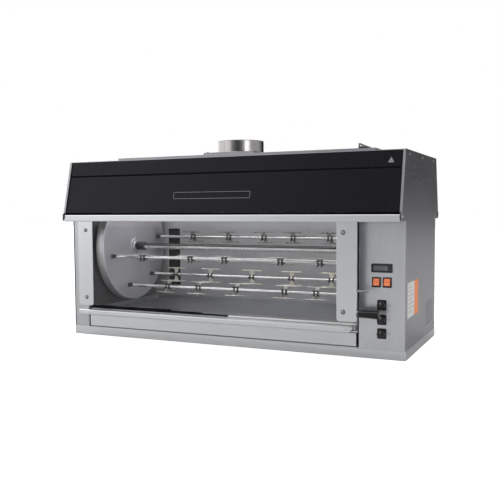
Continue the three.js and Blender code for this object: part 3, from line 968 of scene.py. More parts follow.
@dataclass(frozen=True)
class PaneGlass(Finish):
    """Toughened door glass with a faint film, which lets lamps through."""

    def wire(self, g: Graph) -> Socket:
        """Clear glass for the eye and an open way for light.

        Args:
            g: the material's graph.

        Returns:
            The shader.
        """
        smear = g.group(hand_smears(), {"Amount": 1.0})["Smear"]
        fat = g.group(grease_splash(), {"Cover": 0.1})
        tone = g.mix(fat["Mask"], rgb(243, 245, 248), rgb(226, 222, 212))
        rough = g.span(g.plus(smear, fat["Spots"]), 0.3, 1.6, 0.0, 0.01)
        inputs = {"Base Color": tone, "Roughness": rough, "IOR": 1.25, "Transmission Weight": 1.0}
        pane = g.node("BsdfPrincipled", inputs).outputs[0]
        clear = g.node("BsdfTransparent", {"Color": (0.93, 0.96, 0.95, 1.0)}).outputs[0]
        lamp = g.node("LightPath").outputs["Is Shadow Ray"]
        return g.node("MixShader", {0: lamp, 1: pane, 2: clear}).outputs[0]


@dataclass(frozen=True)
class FloorSheet(Finish):
    """Plain pale paper sweep."""

    def wire(self, g: Graph) -> Socket:
        """White paper, hardly uneven.

        Args:
            g: the material's graph.

        Returns:
            The shader.
        """
        cloud = g.noise(g.place(), 1.5, 2.0)
        colour = g.mix(cloud, (0.93, 0.93, 0.93), (0.96, 0.96, 0.96))
        seen = {
            "Base Color": colour, "Roughness": 0.7, "Emission Color": colour, "Emission Strength": 0.5
        }
        dull = {"Base Color": g.mix(cloud, (0.53, 0.53, 0.53), (0.57, 0.57, 0.57)), "Roughness": 0.8}
        eye = g.node("LightPath").outputs["Is Camera Ray"]
        shaders = [g.node("BsdfPrincipled", inputs).outputs[0] for inputs in (dull, seen)]
        return g.node("MixShader", {0: eye, 1: shaders[0], 2: shaders[1]}).outputs[0]


STEEL_X = BrushedSteel("Steel brushed lengthwise", "brushed_steel")
STEEL_Z = BrushedSteel(
    "Steel brushed upright", "brushed_steel", light=rgb(204, 206, 208), dark=rgb(194, 196, 199),
    roughness=0.28, dust=0.06, grain=Grain.ALONG_Z,
)
STEEL_PANEL = BrushedSteel(
    "Control panel steel", "brushed_steel", light=rgb(195, 196, 200), dark=rgb(183, 184, 189),
    roughness=0.29, dust=0.06, grain=Grain.ALONG_Z,
)
# Front post: a darker copy of the sheet steel, as painted shade.
SHADED_POST_STEEL = BrushedSteel(
    "Steel post, shaded", "brushed_steel", rgb(184, 186, 188), rgb(169, 171, 174), 0.3, Grain.ALONG_Z
)
# Left liner: a much darker copy of the inner wall steel, as painted shade behind the left disc; its fat
# spots are real.
SHADED_LINER_STEEL = BrushedSteel(
    "Steel liner with painted shade", "brushed_steel", rgb(112, 111, 114), rgb(84, 83, 86), 0.45, Grain.ALONG_Y,
    grease=0.4,
)
# Side skins: a darker copy of the sheet steel, as painted shade on the faces turned away from the
# light.
SHADED_SIDE_STEEL = BrushedSteel(
    "Steel side panel, shaded", "brushed_steel", rgb(154, 154, 159), rgb(141, 141, 146), 0.36, Grain.ALONG_Y
)
STEEL_ROOF = BrushedSteel(
    "Steel roof", "brushed_steel", rgb(158, 159, 163), rgb(140, 141, 146), 0.48, dust=0.2
)
STEEL_INNER = BrushedSteel(
    "Steel inner wall", "brushed_steel", rgb(196, 195, 196), rgb(176, 175, 177), 0.55, Grain.ALONG_X,
    grease=0.22,
)
STEEL_TRAY = BrushedSteel(
    "Steel tray", "brushed_steel", rgb(182, 184, 188), rgb(150, 152, 156), 0.32, Grain.ALONG_X,
    grease=0.3,
)
STEEL_DISC = BrushedSteel(
    "Steel disc", "brushed_steel", rgb(222, 219, 224), rgb(204, 201, 207), 0.5, Grain.TURNED,
    grease=0.08,
)
STEEL_RIM = BrushedSteel(
    "Steel rim", "brushed_steel", rgb(238, 236, 234), rgb(222, 220, 219), 0.5, Grain.TURNED
)
FLUE_STEEL = BrushedSteel(
    "Flue steel", "flue_steel", rgb(172, 169, 168), rgb(130, 127, 127), 0.24, Grain.ALONG_Z, dust=0.1
)
BAR_STEEL = PolishedSteel("Spit steel", "bright_steel", rgb(226, 224, 222), 0.1, 0.12, 0.15)
# Shaft: paler than the spits as a painted highlight for its lower half, with painted shade on its upper
# side.
SHAFT_STEEL = PolishedSteel("Shaft steel", "bright_steel", rgb(244, 242, 240), 0.2, 0.12, 0.15, 0.97)
FORK_WORN = PolishedSteel("Worn fork steel", "bright_steel", rgb(176, 173, 168), 0.26, 0.2, 0.3)
FORK_STEEL = PolishedSteel("Fork steel", "bright_steel", rgb(240, 234, 218), 0.4, 0.1, 0.12)
SCREW_STEEL = PolishedSteel("Screw steel", "bright_steel", rgb(150, 150, 153), 0.16, 0.0, 0.05)
BLACK_ENAMEL = Coating(
    "Black enamel", "black_enamel", rgb(21, 20, 26), rgb(23, 22, 28), 0.3, 700.0, 0.000003, wear=0.06,
    shine=0.09,
)
BLACK_PLASTIC = Coating(
    "Black plastic", "black_plastic", rgb(20, 20, 22), rgb(27, 27, 29), 0.26, 1400.0, dust=0.06
)
BLACK_GLOSS = Coating(
    "Black gloss", "black_plastic", rgb(9, 9, 11), rgb(14, 14, 16), 0.1, 500.0, 0.000005, wear=0.03,
    shine=0.28, coat=0.08, dust=0.01,
)
# Flat black that stands in for shade: inside the air duct, on the hood baffle, behind joints and along
# the tray's front.
SHADE_BLACK = Coating(
    "Painted shade black", "black_enamel", rgb(8, 8, 9), rgb(14, 14, 14), 0.8, 500.0, wear=0.0, shine=0.15
)
DARK_CLIP = Coating("Dark clip", "black_plastic", rgb(46, 46, 50), rgb(60, 60, 64), 0.4, 1000.0)
SCREEN_GREY = Coating(
    "Display window", "black_plastic", rgb(84, 88, 92), rgb(98, 102, 106), 0.12, 300.0, 0.000005,
    wear=0.0, coat=0.6,
)
SCREEN_MARK = Coating(
    "Display segment", "black_plastic", rgb(52, 56, 60), rgb(60, 64, 68), 0.3, 300.0, 0.000005, wear=0.0
)
ORANGE_LENS = Coating(
    "Orange lens", "orange_lens", rgb(212, 104, 58), rgb(226, 138, 92), 0.2, 900.0, 0.00002,
    rgb(250, 190, 150), coat=0.3, glow=0.08,
)
PRINT_GREY = Coating(
    "Grey print", "black_plastic", rgb(86, 86, 90), rgb(100, 100, 104), 0.5, 900.0, 0.00001, wear=0.0
)
LABEL_WHITE = Coating(
    "Label white", "black_plastic", rgb(196, 195, 193), rgb(208, 207, 205), 0.45, 900.0, 0.00001,
    wear=0.1,
)
LABEL_ORANGE = Coating(
    "Label orange", "orange_lens", rgb(222, 122, 58), rgb(232, 138, 76), 0.45, 900.0, 0.00001, wear=0.1
)
SIGN_GREY = Coating(
    "Sign grey", "black_plastic", rgb(112, 111, 114), rgb(128, 127, 130), 0.4, 900.0, 0.00001, wear=0.1
)
CAST = CastMetal("Cast metal", "cast_metal")
CLAMP = CastMetal("Dark clamp", "cast_metal", rgb(74, 74, 78), rgb(36, 36, 39), 0.4)
BRASS = CastMetal("Brass", "brass", rgb(196, 160, 96), rgb(150, 116, 62), 0.32)
BURNER_TILE = Tile("Burner tile", "burner_tile")
PANE = PaneGlass("Door glass", "door_glass")
FLOOR = FloorSheet("Floor", "floor")


def dress(finish: Finish, *nodes: str) -> None:
    """Gives frame nodes whose shape already serves a finish of their own.

    Args:
        finish: what the nodes are made of.
        nodes: their names in the frame.
    """
    for name in nodes:
        mesh = frame["nodes"][name].data
        mesh.materials.clear()
        mesh.materials.append(finish.material())
        LOG.info("%s: frame node dressed in %s", name, finish.name)


def joint_at(name: str) -> Vector:
    """A point on a joint's axis."""
    return Vector(next(joint["pos_m"] for joint in frame["joints"] if joint["name"] == name))


# ------------------------------------------------------------------ small repeated parts
@dataclass
class Assembly:
    """A group of pieces, most of them folded from sheet of one thickness."""

    sheet: float = 2 * MM

    def build(self) -> None:
        """Makes the pieces, and dresses the frame nodes that stay in view."""
        raise NotImplementedError


@dataclass
class Screw:
    """A dome-headed socket screw."""

    radius: float = 4 * MM
    height: float = 2.2 * MM

    def profile(self) -> list[Point]:
        """The head's section, from the socket's floor to its seat."""
        r, h = self.radius, self.height
        dome = [
            (r * math.cos(math.radians(a)), 0.2 * h + 0.8 * h * math.sin(math.radians(a)))
            for a in range(64, -1, -16)
        ]
        return [(0, 0.35 * h), (0.36 * r, 0.35 * h), (0.4 * r, 0.93 * h), *dome, (r, 0), (0, 0)]

    def add(self, builder: Builder, facing: Facing, *origins: Sequence[float]) -> None:
        """Sets a screw with its seat at each origin."""
        for origin in origins:
            builder.turned(self.profile(), facing, origin, 20)


def slope_matrix(low: Point, high: Point, side: int) -> Matrix:
    """The transform of a sheet that leans from low to high in (y, z).

    Args:
        low, high: two points of the sheet's outer face, in the frame.
        side: 1 where it faces the front, -1 where it faces the rear.

    Returns:
        A matrix from (across, up the slope, out) to the frame.
    """
    up = Vector((0, high[0] - low[0], high[1] - low[1])).normalized()
    across = Vector((side, 0, 0))
    out = across.cross(up)
    return Matrix.Translation((0, *low)) @ Matrix((across, up, out)).transposed().to_4x4()


# ------------------------------------------------------------------ cabinet
@dataclass
class Cabinet(Assembly):
    """Plinth, floor, side skins, front post and rear panel."""

    vents_high: tuple[float, float, float, float] = (-0.205, 0.185, 0.572, 0.640)
    vents_low: tuple[float, float, float, float] = (0.06, 0.215, 0.062, 0.150)
    screws: Screw = field(default_factory=Screw)

    def build(self) -> None:
        """Makes and dresses every part of the cabinet."""
        self.plinth()
        for side in (-1, 1):
            self.side_skin(side)
        self.front_post()
        self.rear()
        self.fasteners()
        dress(STEEL_X, "floor_panel")

    def plinth(self) -> None:
        """A folded skirt with rounded corners, and a shelf along its top."""
        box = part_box("plinth")
        low, high = box
        gap = inset(box, "xy", 1.5 * MM, 2 * MM)
        skirt = Builder().plate(
            inset(box, "xy", 0, 3 * MM), Facing.UP, low.z, high.z - low.z, [gap], 0.5 * MM
        )
        shelf = inset(box, "xy", 14 * MM, 4 * MM)
        skirt.plate(inset(box, "xy", 1.6 * MM, 2 * MM), Facing.UP, high.z - 2 * MM, 1.6 * MM, [shelf])
        skirt.build("plinth_skirt", STEEL_X, stands_for=["plinth"])

    @staticmethod
    def side_outline(top: float, roof: float) -> list[Point]:
        """The skin's outline in (y, z), up to top: upright body, hood flaring out and in again to roof.

        Args:
            top: the roof's height.
            roof: how far its edges are from the middle plane.

        Returns:
            The closed outline.
        """
        body, hood, flare, foot = 0.25, 0.468, 0.308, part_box("left_side_panel")[0].z
        front = [(-body, foot), (-body, hood), (-flare, hood), (-roof, top)]
        return front[::-1] + [(-y, z) for y, z in front]

    def side_skin(self, side: int) -> None:
        """One side panel with its hood cheek, louvres, edge flanges and hinge ears.

        Args:
            side: 1 for the right, -1 for the left.
        """
        name = "right_side_panel" if side > 0 else "left_side_panel"
        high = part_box(name)[1]
        facing = Facing.RIGHT if side > 0 else Facing.LEFT
        holes = louvres(*self.vents_high, 9, 2) + louvres(*self.vents_low, 9, 1) if side > 0 else []
        outline = [
            (side * y, z) for y, z in self.side_outline(high.z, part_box("roof_panel")[1].y + 3 * MM)
        ]
        skin = Builder().plate(outline, facing, SKIN - self.sheet, self.sheet, holes, 0.5 * MM)
        step = 0.1 * MM
        for fore in (-1, 1):
            ear = [(fore * y, z) for y, z in rounded(0.248, 0.3135, 0.444, 0.470, 4 * MM)]
            hole = circle((fore * HINGE[0], HINGE[1]), 4.3 * MM, 20)
            skin.plate(ear, facing, SKIN - self.sheet + step, self.sheet - 2 * step, [hole], 0.4 * MM)
        skin.build(name.replace("panel", "skin"), SHADED_SIDE_STEEL, stands_for=[name])
        folds = Builder()
        self.flanges(folds, side)
        folds.build(name.replace("side_panel", "cheek_folds"), STEEL_ROOF if side < 0 else SHADED_SIDE_STEEL)

    def flanges(self, folds: Builder, side: int) -> None:
        """The cheek's folded front and rear edges.

        Args:
            folds: the builder they are added to.
            side: 1 for the right, -1 for the left.
        """
        near, far = SKIN - 7.5 * MM, SKIN - 0.4 * MM
        for fore in (-1, 1):
            low, high = (fore * 0.3070, 0.473), (fore * 0.2598, 0.668)
            start, end = (near, far) if side * -fore > 0 else (-far, -near)
            outline = rounded(start, end, 0.0, math.dist(low, high), 1 * MM)
            lean = slope_matrix(low, high, -fore)
            folds.plate(outline, Facing.FRONT, -self.sheet, self.sheet, place=lean)

    def front_post(self) -> None:
        """The left front post, folded from one sheet."""
        low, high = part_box("left_column")
        t = self.sheet / 2
        section = folded(
            [
                (high.x - t, high.y), (high.x - t, low.y + t), (low.x + t, low.y + t),
                (low.x + t, high.y),
            ],
            self.sheet, 3 * MM,
        )
        post = Builder().prism(section, Facing.UP, low.z, high.z)
        post.build("front_post", SHADED_POST_STEEL, stands_for=["left_column"])

    def rear(self) -> None:
        """The outer rear panel with cooling slots, gas inlet, cable gland and a blank plate."""
        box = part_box("rear_panel")
        face = box[1].y + 0.2 * MM
        holes = louvres(-0.63, -0.52, 0.09, 0.22, 9, 1) + louvres(-0.63, -0.52, 0.27, 0.40, 9, 1)
        cover = Builder().plate(
            inset(box, "xz", 0, 2 * MM), Facing.BACK, box[0].y, box[1].y - box[0].y, holes, 0.4 * MM
        )
        cover.build("rear_cover", STEEL_X, stands_for=["rear_panel"])
        inlet = [
            (5 * MM, face), (13 * MM, face), (13 * MM, 0.253), (9.5 * MM, 0.2535), (9.5 * MM, 0.272),
            (8.6 * MM, 0.273), (5 * MM, 0.273),
        ]
        Builder().turned(inlet, Facing.BACK, (0.60, 0, 0.065), 32).build("gas_inlet", BRASS)
        gland = [
            (0, face), (12 * MM, face), (12 * MM, 0.255), (9 * MM, 0.2555), (9 * MM, 0.264),
            (4.5 * MM, 0.268), (4.5 * MM, 0.290), (0, 0.290),
        ]
        Builder().turned(gland, Facing.BACK, (0.55, 0, 0.065), 12).build("cable_gland", BLACK_PLASTIC)
        plate = Builder().plate(
            rounded(-0.44, -0.36, 0.10, 0.16, 2 * MM), Facing.BACK, face, 0.6 * MM, edge=0.15 * MM
        )
        plate.build("rear_data_plate", SIGN_GREY)

    def fasteners(self) -> None:
        """Rows of dome screws along the side skins and the rear cover, and the rear rail's pins."""
        spots = [(0.236, z) for z in (0.05, 0.19, 0.33, 0.448)] + [(y, 0.655) for y in (-0.2, 0.0, 0.2)]
        screws, pins = Builder(), Builder()
        head = [(0, SKIN), (7 * MM, SKIN), (7 * MM, 0.6512), (5 * MM, 0.6518), (0, 0.6518)]
        for side, facing in ((1, Facing.RIGHT), (-1, Facing.LEFT)):
            self.screws.add(screws, facing, *[(side * (SKIN - 0.1 * MM), y, z) for y, z in spots])
            pins.turned(head, facing, (0, *HINGE), 24)
        for x in (-0.635, -0.32, 0.0, 0.32, 0.635):
            self.screws.add(screws, Facing.BACK, (x, 0.2499, 0.045), (x, 0.2499, 0.43))
        screws.build("cabinet_screws", SCREW_STEEL)
        pins.build("rear_pins", DARK_CLIP)


# ------------------------------------------------------------------ hood and roof
@dataclass
class Hood(Assembly):
    """Black fascias, roof, flue and what is fixed to them."""

    slope_low: Point = (-0.30277, 0.473)
    slope_high: Point = (-0.256, 0.668)
    reach: float = 0.6408
    plate_size: tuple[float, float] = (0.300, 0.024)
    flue_bore: float = 0.087

    def build(self) -> None:
        """Makes and dresses every part of the hood."""
        self.fascias()
        self.shadow_gaps()
        self.rear_fascia()
        self.badges()
        self.roof()
        self.flue()
        self.lug()
        dress(STEEL_ROOF, "roof_panel")

    def lean(self) -> Matrix:
        """The front slope's own transform."""
        return slope_matrix(self.slope_low, self.slope_high, 1)

    def along(self, z: float) -> float:
        """How far up the slope a height is."""
        share = (z - self.slope_low[1]) / (self.slope_high[1] - self.slope_low[1])
        return share * math.dist(self.slope_low, self.slope_high)

    def fascias(self) -> None:
        """The upper strip and the deep lower panel, the lower one with a return along its foot."""
        strips = (
            ("upper_fascia", "fascia_upper", 1.4 * MM, 0.7 * MM),
            ("lower_fascia", "fascia_lower", 0.7 * MM, 2.2 * MM),
        )
        for name, node, foot, head in strips:
            low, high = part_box(node)
            outline = rounded(
                -self.reach, self.reach, self.along(low.z + foot), self.along(high.z - head), 1.5 * MM
            )
            panel = Builder().plate(
                outline, Facing.FRONT, -self.sheet, self.sheet, edge=0.7 * MM, place=self.lean()
            )
            if node == "fascia_lower":
                panel.block((low.x, low.y + 1 * MM, low.z), (high.x, high.y, low.z + self.sheet))
            panel.build(name, BLACK_ENAMEL, stands_for=[node])

    def shadow_gaps(self) -> None:
        """Black strips behind the joint of the fascias and behind the door's hinge line."""
        half, y, z = 0.636, -0.2655, 0.611
        strips = Builder().block((-half, y, z - 8 * MM), (half, y + 1.5 * MM, z + 8 * MM))
        strips.block((-half, -0.291, 0.462), (half, -0.2895, 0.4725))
        strips.build("shadow_strips", SHADE_BLACK)

    def rear_fascia(self) -> None:
        """The steel rear slope with its louvres and its hanging rail."""
        low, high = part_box("rear_fascia")
        foot, head = ((-y, z) for y, z in (self.slope_low, self.slope_high))
        outline = rounded(low.x, high.x, self.along(0.469), self.along(high.z), 1.5 * MM)
        holes = louvres(-0.5, 0.5, 0.06, 0.13, 4, 10)
        panel = Builder().plate(
            outline, Facing.BACK, -self.sheet, self.sheet, holes, place=slope_matrix(foot, head, -1)
        )
        rail = Builder().block((low.x, high.y - 5 * MM, low.z), (high.x, high.y, low.z + 28 * MM))
        rail.soften(0.8 * MM).build("rear_rail", STEEL_X)
        panel.build("rear_slope", STEEL_X, stands_for=["rear_fascia"])

    def badges(self) -> None:
        """A blank name plate and a blank warning-sign plate on the black panels."""
        lean, (width, height) = self.lean(), self.plate_size
        middle, level = -0.020, self.along(0.533)
        outer = centred(middle, level, width, height, 3 * MM)
        inner = centred(middle, level, width - 2 * MM, height - 2 * MM, 2.2 * MM)
        rim = Builder().plate(outer, Facing.FRONT, 0.1 * MM, 0.8 * MM, [inner], 0.2 * MM, lean)
        rim.build("name_plate_rim", SIGN_GREY)
        x, up = 0.605, self.along(0.6265)
        corners = [(x - 10 * MM, up), (x + 10 * MM, up), (x, up + 18 * MM)]
        sign = Builder().plate(corners, Facing.FRONT, 0.1 * MM, 0.6 * MM, edge=0.15 * MM, place=lean)
        sign.build("sign_plate", SIGN_GREY)

    def lid(self, node: str, radius: float, wall: float, edge: float) -> Builder:
        """A shallow lid folded from sheet, with the flue's hole in its top.

        Args:
            node: the frame node whose box it fills.
            radius: of its corners.
            wall: how far in its inner side runs.
            edge: radius of its top edge.

        Returns:
            The builder.
        """
        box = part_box(node)
        low, high = box
        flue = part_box("flue_collar")
        bore = circle(((flue[0].x + flue[1].x) / 2, 0.0), self.flue_bore, 64)
        lid = Builder().plate(
            inset(box, "xy", 0, radius), Facing.UP, high.z - self.sheet, self.sheet, [bore], edge
        )
        inner = inset(box, "xy", wall, radius - MM)
        return lid.plate(
            inset(box, "xy", 0.1 * MM, radius), Facing.UP, low.z, high.z - low.z - 1.2 * MM, [inner]
        )

    def roof(self) -> None:
        """The raised roof cover with its screws."""
        self.lid("roof_cover", 5 * MM, 1.6 * MM, 0.8 * MM).build(
            "roof_lid", STEEL_ROOF, stands_for=["roof_cover"]
        )
        low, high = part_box("roof_cover")
        screws = Builder()
        for x in (low.x + 0.02, (low.x + high.x) / 2, high.x - 0.02):
            for y in (low.y + 0.016, high.y - 0.016):
                Screw().add(screws, Facing.UP, (x, y, high.z - 0.1 * MM))
        screws.build("roof_screws", SCREW_STEEL)

    def flue(self) -> None:
        """The square base with its bolts, and the collar with a foot bead and a rolled rim."""
        self.lid("flue_base", 4 * MM, 2 * MM, 0.7 * MM).build(
            "flue_seat", STEEL_ROOF, stands_for=["flue_base"]
        )
        low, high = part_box("flue_base")
        bottom, top = (corner.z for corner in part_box("flue_collar"))
        x = (low.x + high.x) / 2
        bolts = Builder()
        for side in (-1, 1):
            for y in (-0.096, 0.096):
                spot = (x + side * 0.092, y, high.z - 0.1 * MM)
                bolts.prism(circle((0, 0), 5 * MM, 6), Facing.UP, 0, 3.4 * MM, spot)
        bolts.soften(0.4 * MM).build("flue_bolts", SCREW_STEEL)
        inner, outer = self.flue_bore, self.flue_bore + 1.2 * MM
        profile = [
            (inner, bottom), (outer + 0.8 * MM, bottom), (outer + 0.8 * MM, bottom + 1.5 * MM),
            (outer, bottom + 2.4 * MM), (outer, top - 4 * MM),
            *arc((outer - 0.6 * MM, top - 1.3 * MM), 1.3 * MM, -60, 180, 8), (inner, top - 3 * MM),
        ]
        pipe = Builder().turned(profile, Facing.UP, (x, 0, 0), 96)
        pipe.build("flue_pipe", FLUE_STEEL, stands_for=["flue_collar"])

    def lug(self) -> None:
        """A small upright triangular lug on the roof lid, with its foot and bolt."""
        base, left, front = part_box("roof_cover")[1].z, 0.458, -0.119
        section = folded(
            [(front - 31 * MM, base + MM), (front, base + MM), (front, base + 12 * MM)], self.sheet,
            3 * MM,
        )
        lug = Builder().prism(section, Facing.RIGHT, left, left + 42 * MM)
        corners = [
            (left, base + 6 * MM), (left + 44 * MM, base + 6 * MM), (left + 42 * MM, base + 9 * MM),
            (left + 6 * MM, base + 25 * MM), (left, base + 25 * MM),
        ]
        hole = circle((left + 8 * MM, base + 16 * MM), 2.5 * MM, 16)
        lug.plate(corners, Facing.FRONT, -front - MM, self.sheet, [hole])
        lug.build("roof_lug", FLUE_STEEL)
        bolt = Builder()
        Screw(4.5 * MM, 3 * MM).add(bolt, Facing.UP, (left + 21 * MM, front - 19 * MM, base + 1.9 * MM))
        bolt.build("roof_lug_bolt", SCREW_STEEL)


# ------------------------------------------------------------------ inside of the oven
@dataclass
class Cavity(Assembly):
    """Inner walls, rear wall with its air slot, burners and gas pipe."""

    slot_edges: tuple[float, float, float, float] = (-0.515, -0.456, 0.148, 0.399)

    def build(self) -> None:
        """Makes and dresses the inner parts."""
        self.rear_wall()
        self.duct()
        self.baffle()
        self.seams()
        dress(SHADED_LINER_STEEL, "left_liner")
        dress(STEEL_INNER, "right_liner")
        dress(BURNER_TILE, "burner_1", "burner_2", "burner_3")
        dress(BRASS, "gas_manifold", "valve_block")

    def slot(self) -> list[Point]:
        """The air slot's outline."""
        return rounded(*self.slot_edges, 4 * MM)

    def rear_wall(self) -> None:
        """The wall behind the spits, with the tall slot at its left."""
        low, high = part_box("rear_wall")
        outline = rounded(-high.x, -low.x, low.z, high.z, 1 * MM)
        wall = Builder().plate(
            outline, Facing.BACK, low.y, high.y - low.y, [[(-x, z) for x, z in self.slot()]], 0.3 * MM
        )
        wall.build("back_wall", STEEL_INNER, stands_for=["rear_wall"])

    def duct(self) -> None:
        """The box behind the slot, open at its front, black as painted shade so the slot reads as a
        dark opening.
        """
        left, right, bottom, top = self.slot_edges
        left, right, bottom, top = left - 15 * MM, right + 16 * MM, bottom - 13 * MM, top + 13 * MM
        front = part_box("rear_wall")[1].y + 0.2 * MM
        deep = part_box("rear_panel")[0].y - 0.4 * MM
        box = Builder().block((left, deep - MM, bottom), (right, deep, top))
        for x in (left, right - MM):
            box.block((x, front, bottom), (x + MM, deep, top))
        for z in (bottom, top - MM):
            box.block((left, front, z), (right, deep, z + MM))
        box.build("air_duct", SHADE_BLACK)

    def baffle(self) -> None:
        """The sheet over the burners, black as painted shade of the unlit hood ceiling, with holes for
        their pipes and slots for the hot gas.
        """
        holes = [
            circle(((a.x + b.x) / 2, 0.100), 14 * MM, 24)
            for a, b in (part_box(f"burner_{n}") for n in (1, 2, 3))
        ]
        holes += louvres(-0.50, 0.42, -0.215, -0.115, 2, 6) + louvres(-0.50, 0.42, 0.135, 0.215, 2, 6)
        outline = rounded(-0.580, 0.4895, -0.2455, 0.2345, 2 * MM)
        Builder().plate(outline, Facing.UP, 0.6058, 1.2 * MM, holes).build("hood_baffle", SHADE_BLACK)

    def seams(self) -> None:
        """Cover strips with screws over the rear wall's joints."""
        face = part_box("rear_wall")[0].y
        trim = Builder()
        for x in (-0.21, 0.16):
            trim.block((x, face - 1.2 * MM, 0.11), (x + 16 * MM, face - 0.1 * MM, 0.56))
        trim.soften(0.5 * MM)
        for x in (-0.202, 0.168):
            spots = [(x, face - 1.1 * MM, z) for z in (0.14, 0.3, 0.46)]
            Screw(3 * MM, 1.6 * MM).add(trim, Facing.FRONT, *spots)
        trim.build("wall_trim", STEEL_INNER)


# ------------------------------------------------------------------ rotor, spits and forks
@dataclass
class Fork:
    """One clamped double-prong fork."""

    reach: float = 27 * MM
    prong: float = 92 * MM
    wire: float = 2.3 * MM
    hub: float = 10.5 * MM

    def add(self, builder: Builder, x: float, y: float, z: float) -> None:
        """Adds the waisted plate and two pointed prongs at a station on the bar.

        Args:
            builder: the fork's own.
            x, y, z: the station.
        """
        waist, foot, steps = 4.5 * MM, 11 * MM, 5
        flank = [
            (waist + (foot - waist) * (k / steps) ** 1.6, self.reach * k / steps)
            for k in range(steps + 1)
        ]
        outline = [(-wide, -high) for wide, high in flank] + [
            (wide, -high) for wide, high in flank[:0:-1]
        ]
        outline += [(wide, high) for wide, high in flank] + [
            (-wide, high) for wide, high in flank[:0:-1]
        ]
        builder.plate(
            outline, Facing.FRONT, -y - 1.3 * MM, 2.6 * MM, edge=0.6 * MM,
            place=Facing.FRONT.matrix((x, 0, z)),
        )
        half, taper, point = self.prong / 2, 9 * MM, 0.25 * MM
        for side in (-1, 1):
            stops = (x - half, x - half + taper, x + half - taper, x + half)
            path = [(stop, y, z + side * self.reach) for stop in stops]
            builder.tube(path, [point, self.wire, self.wire, point], 10)

    def clamp(self, builder: Builder, x: float, y: float, z: float) -> None:
        """Adds the collars that clamp the fork, each with a thumb screw that points to the front.

        Args:
            builder: the clamps' own.
            x, y, z: the station.
        """
        hub, bore, edge = self.hub, 5.1 * MM, 0.8 * MM
        neck, grip, start, step, end = 1.6 * MM, 3.2 * MM, 8 * MM, 13 * MM, 18 * MM
        screw = [
            (0, start), (neck, start), (neck, step), (grip - 0.2 * MM, step), (grip, step + MM),
            (grip, end), (0, end),
        ]
        for side in (-1, 1):
            near, far, chamfer = side * 2.2 * MM, side * 6.4 * MM, side * edge
            profile = [
                (bore, near), (hub - edge, near), (hub, near + chamfer), (hub, far - chamfer),
                (hub - edge, far), (bore, far),
            ]
            builder.turned(profile, Facing.RIGHT, (x + side * 3 * MM, y, z), 24)
            builder.turned(screw, Facing.FRONT, (x + side * 7.3 * MM, y, z), 14)


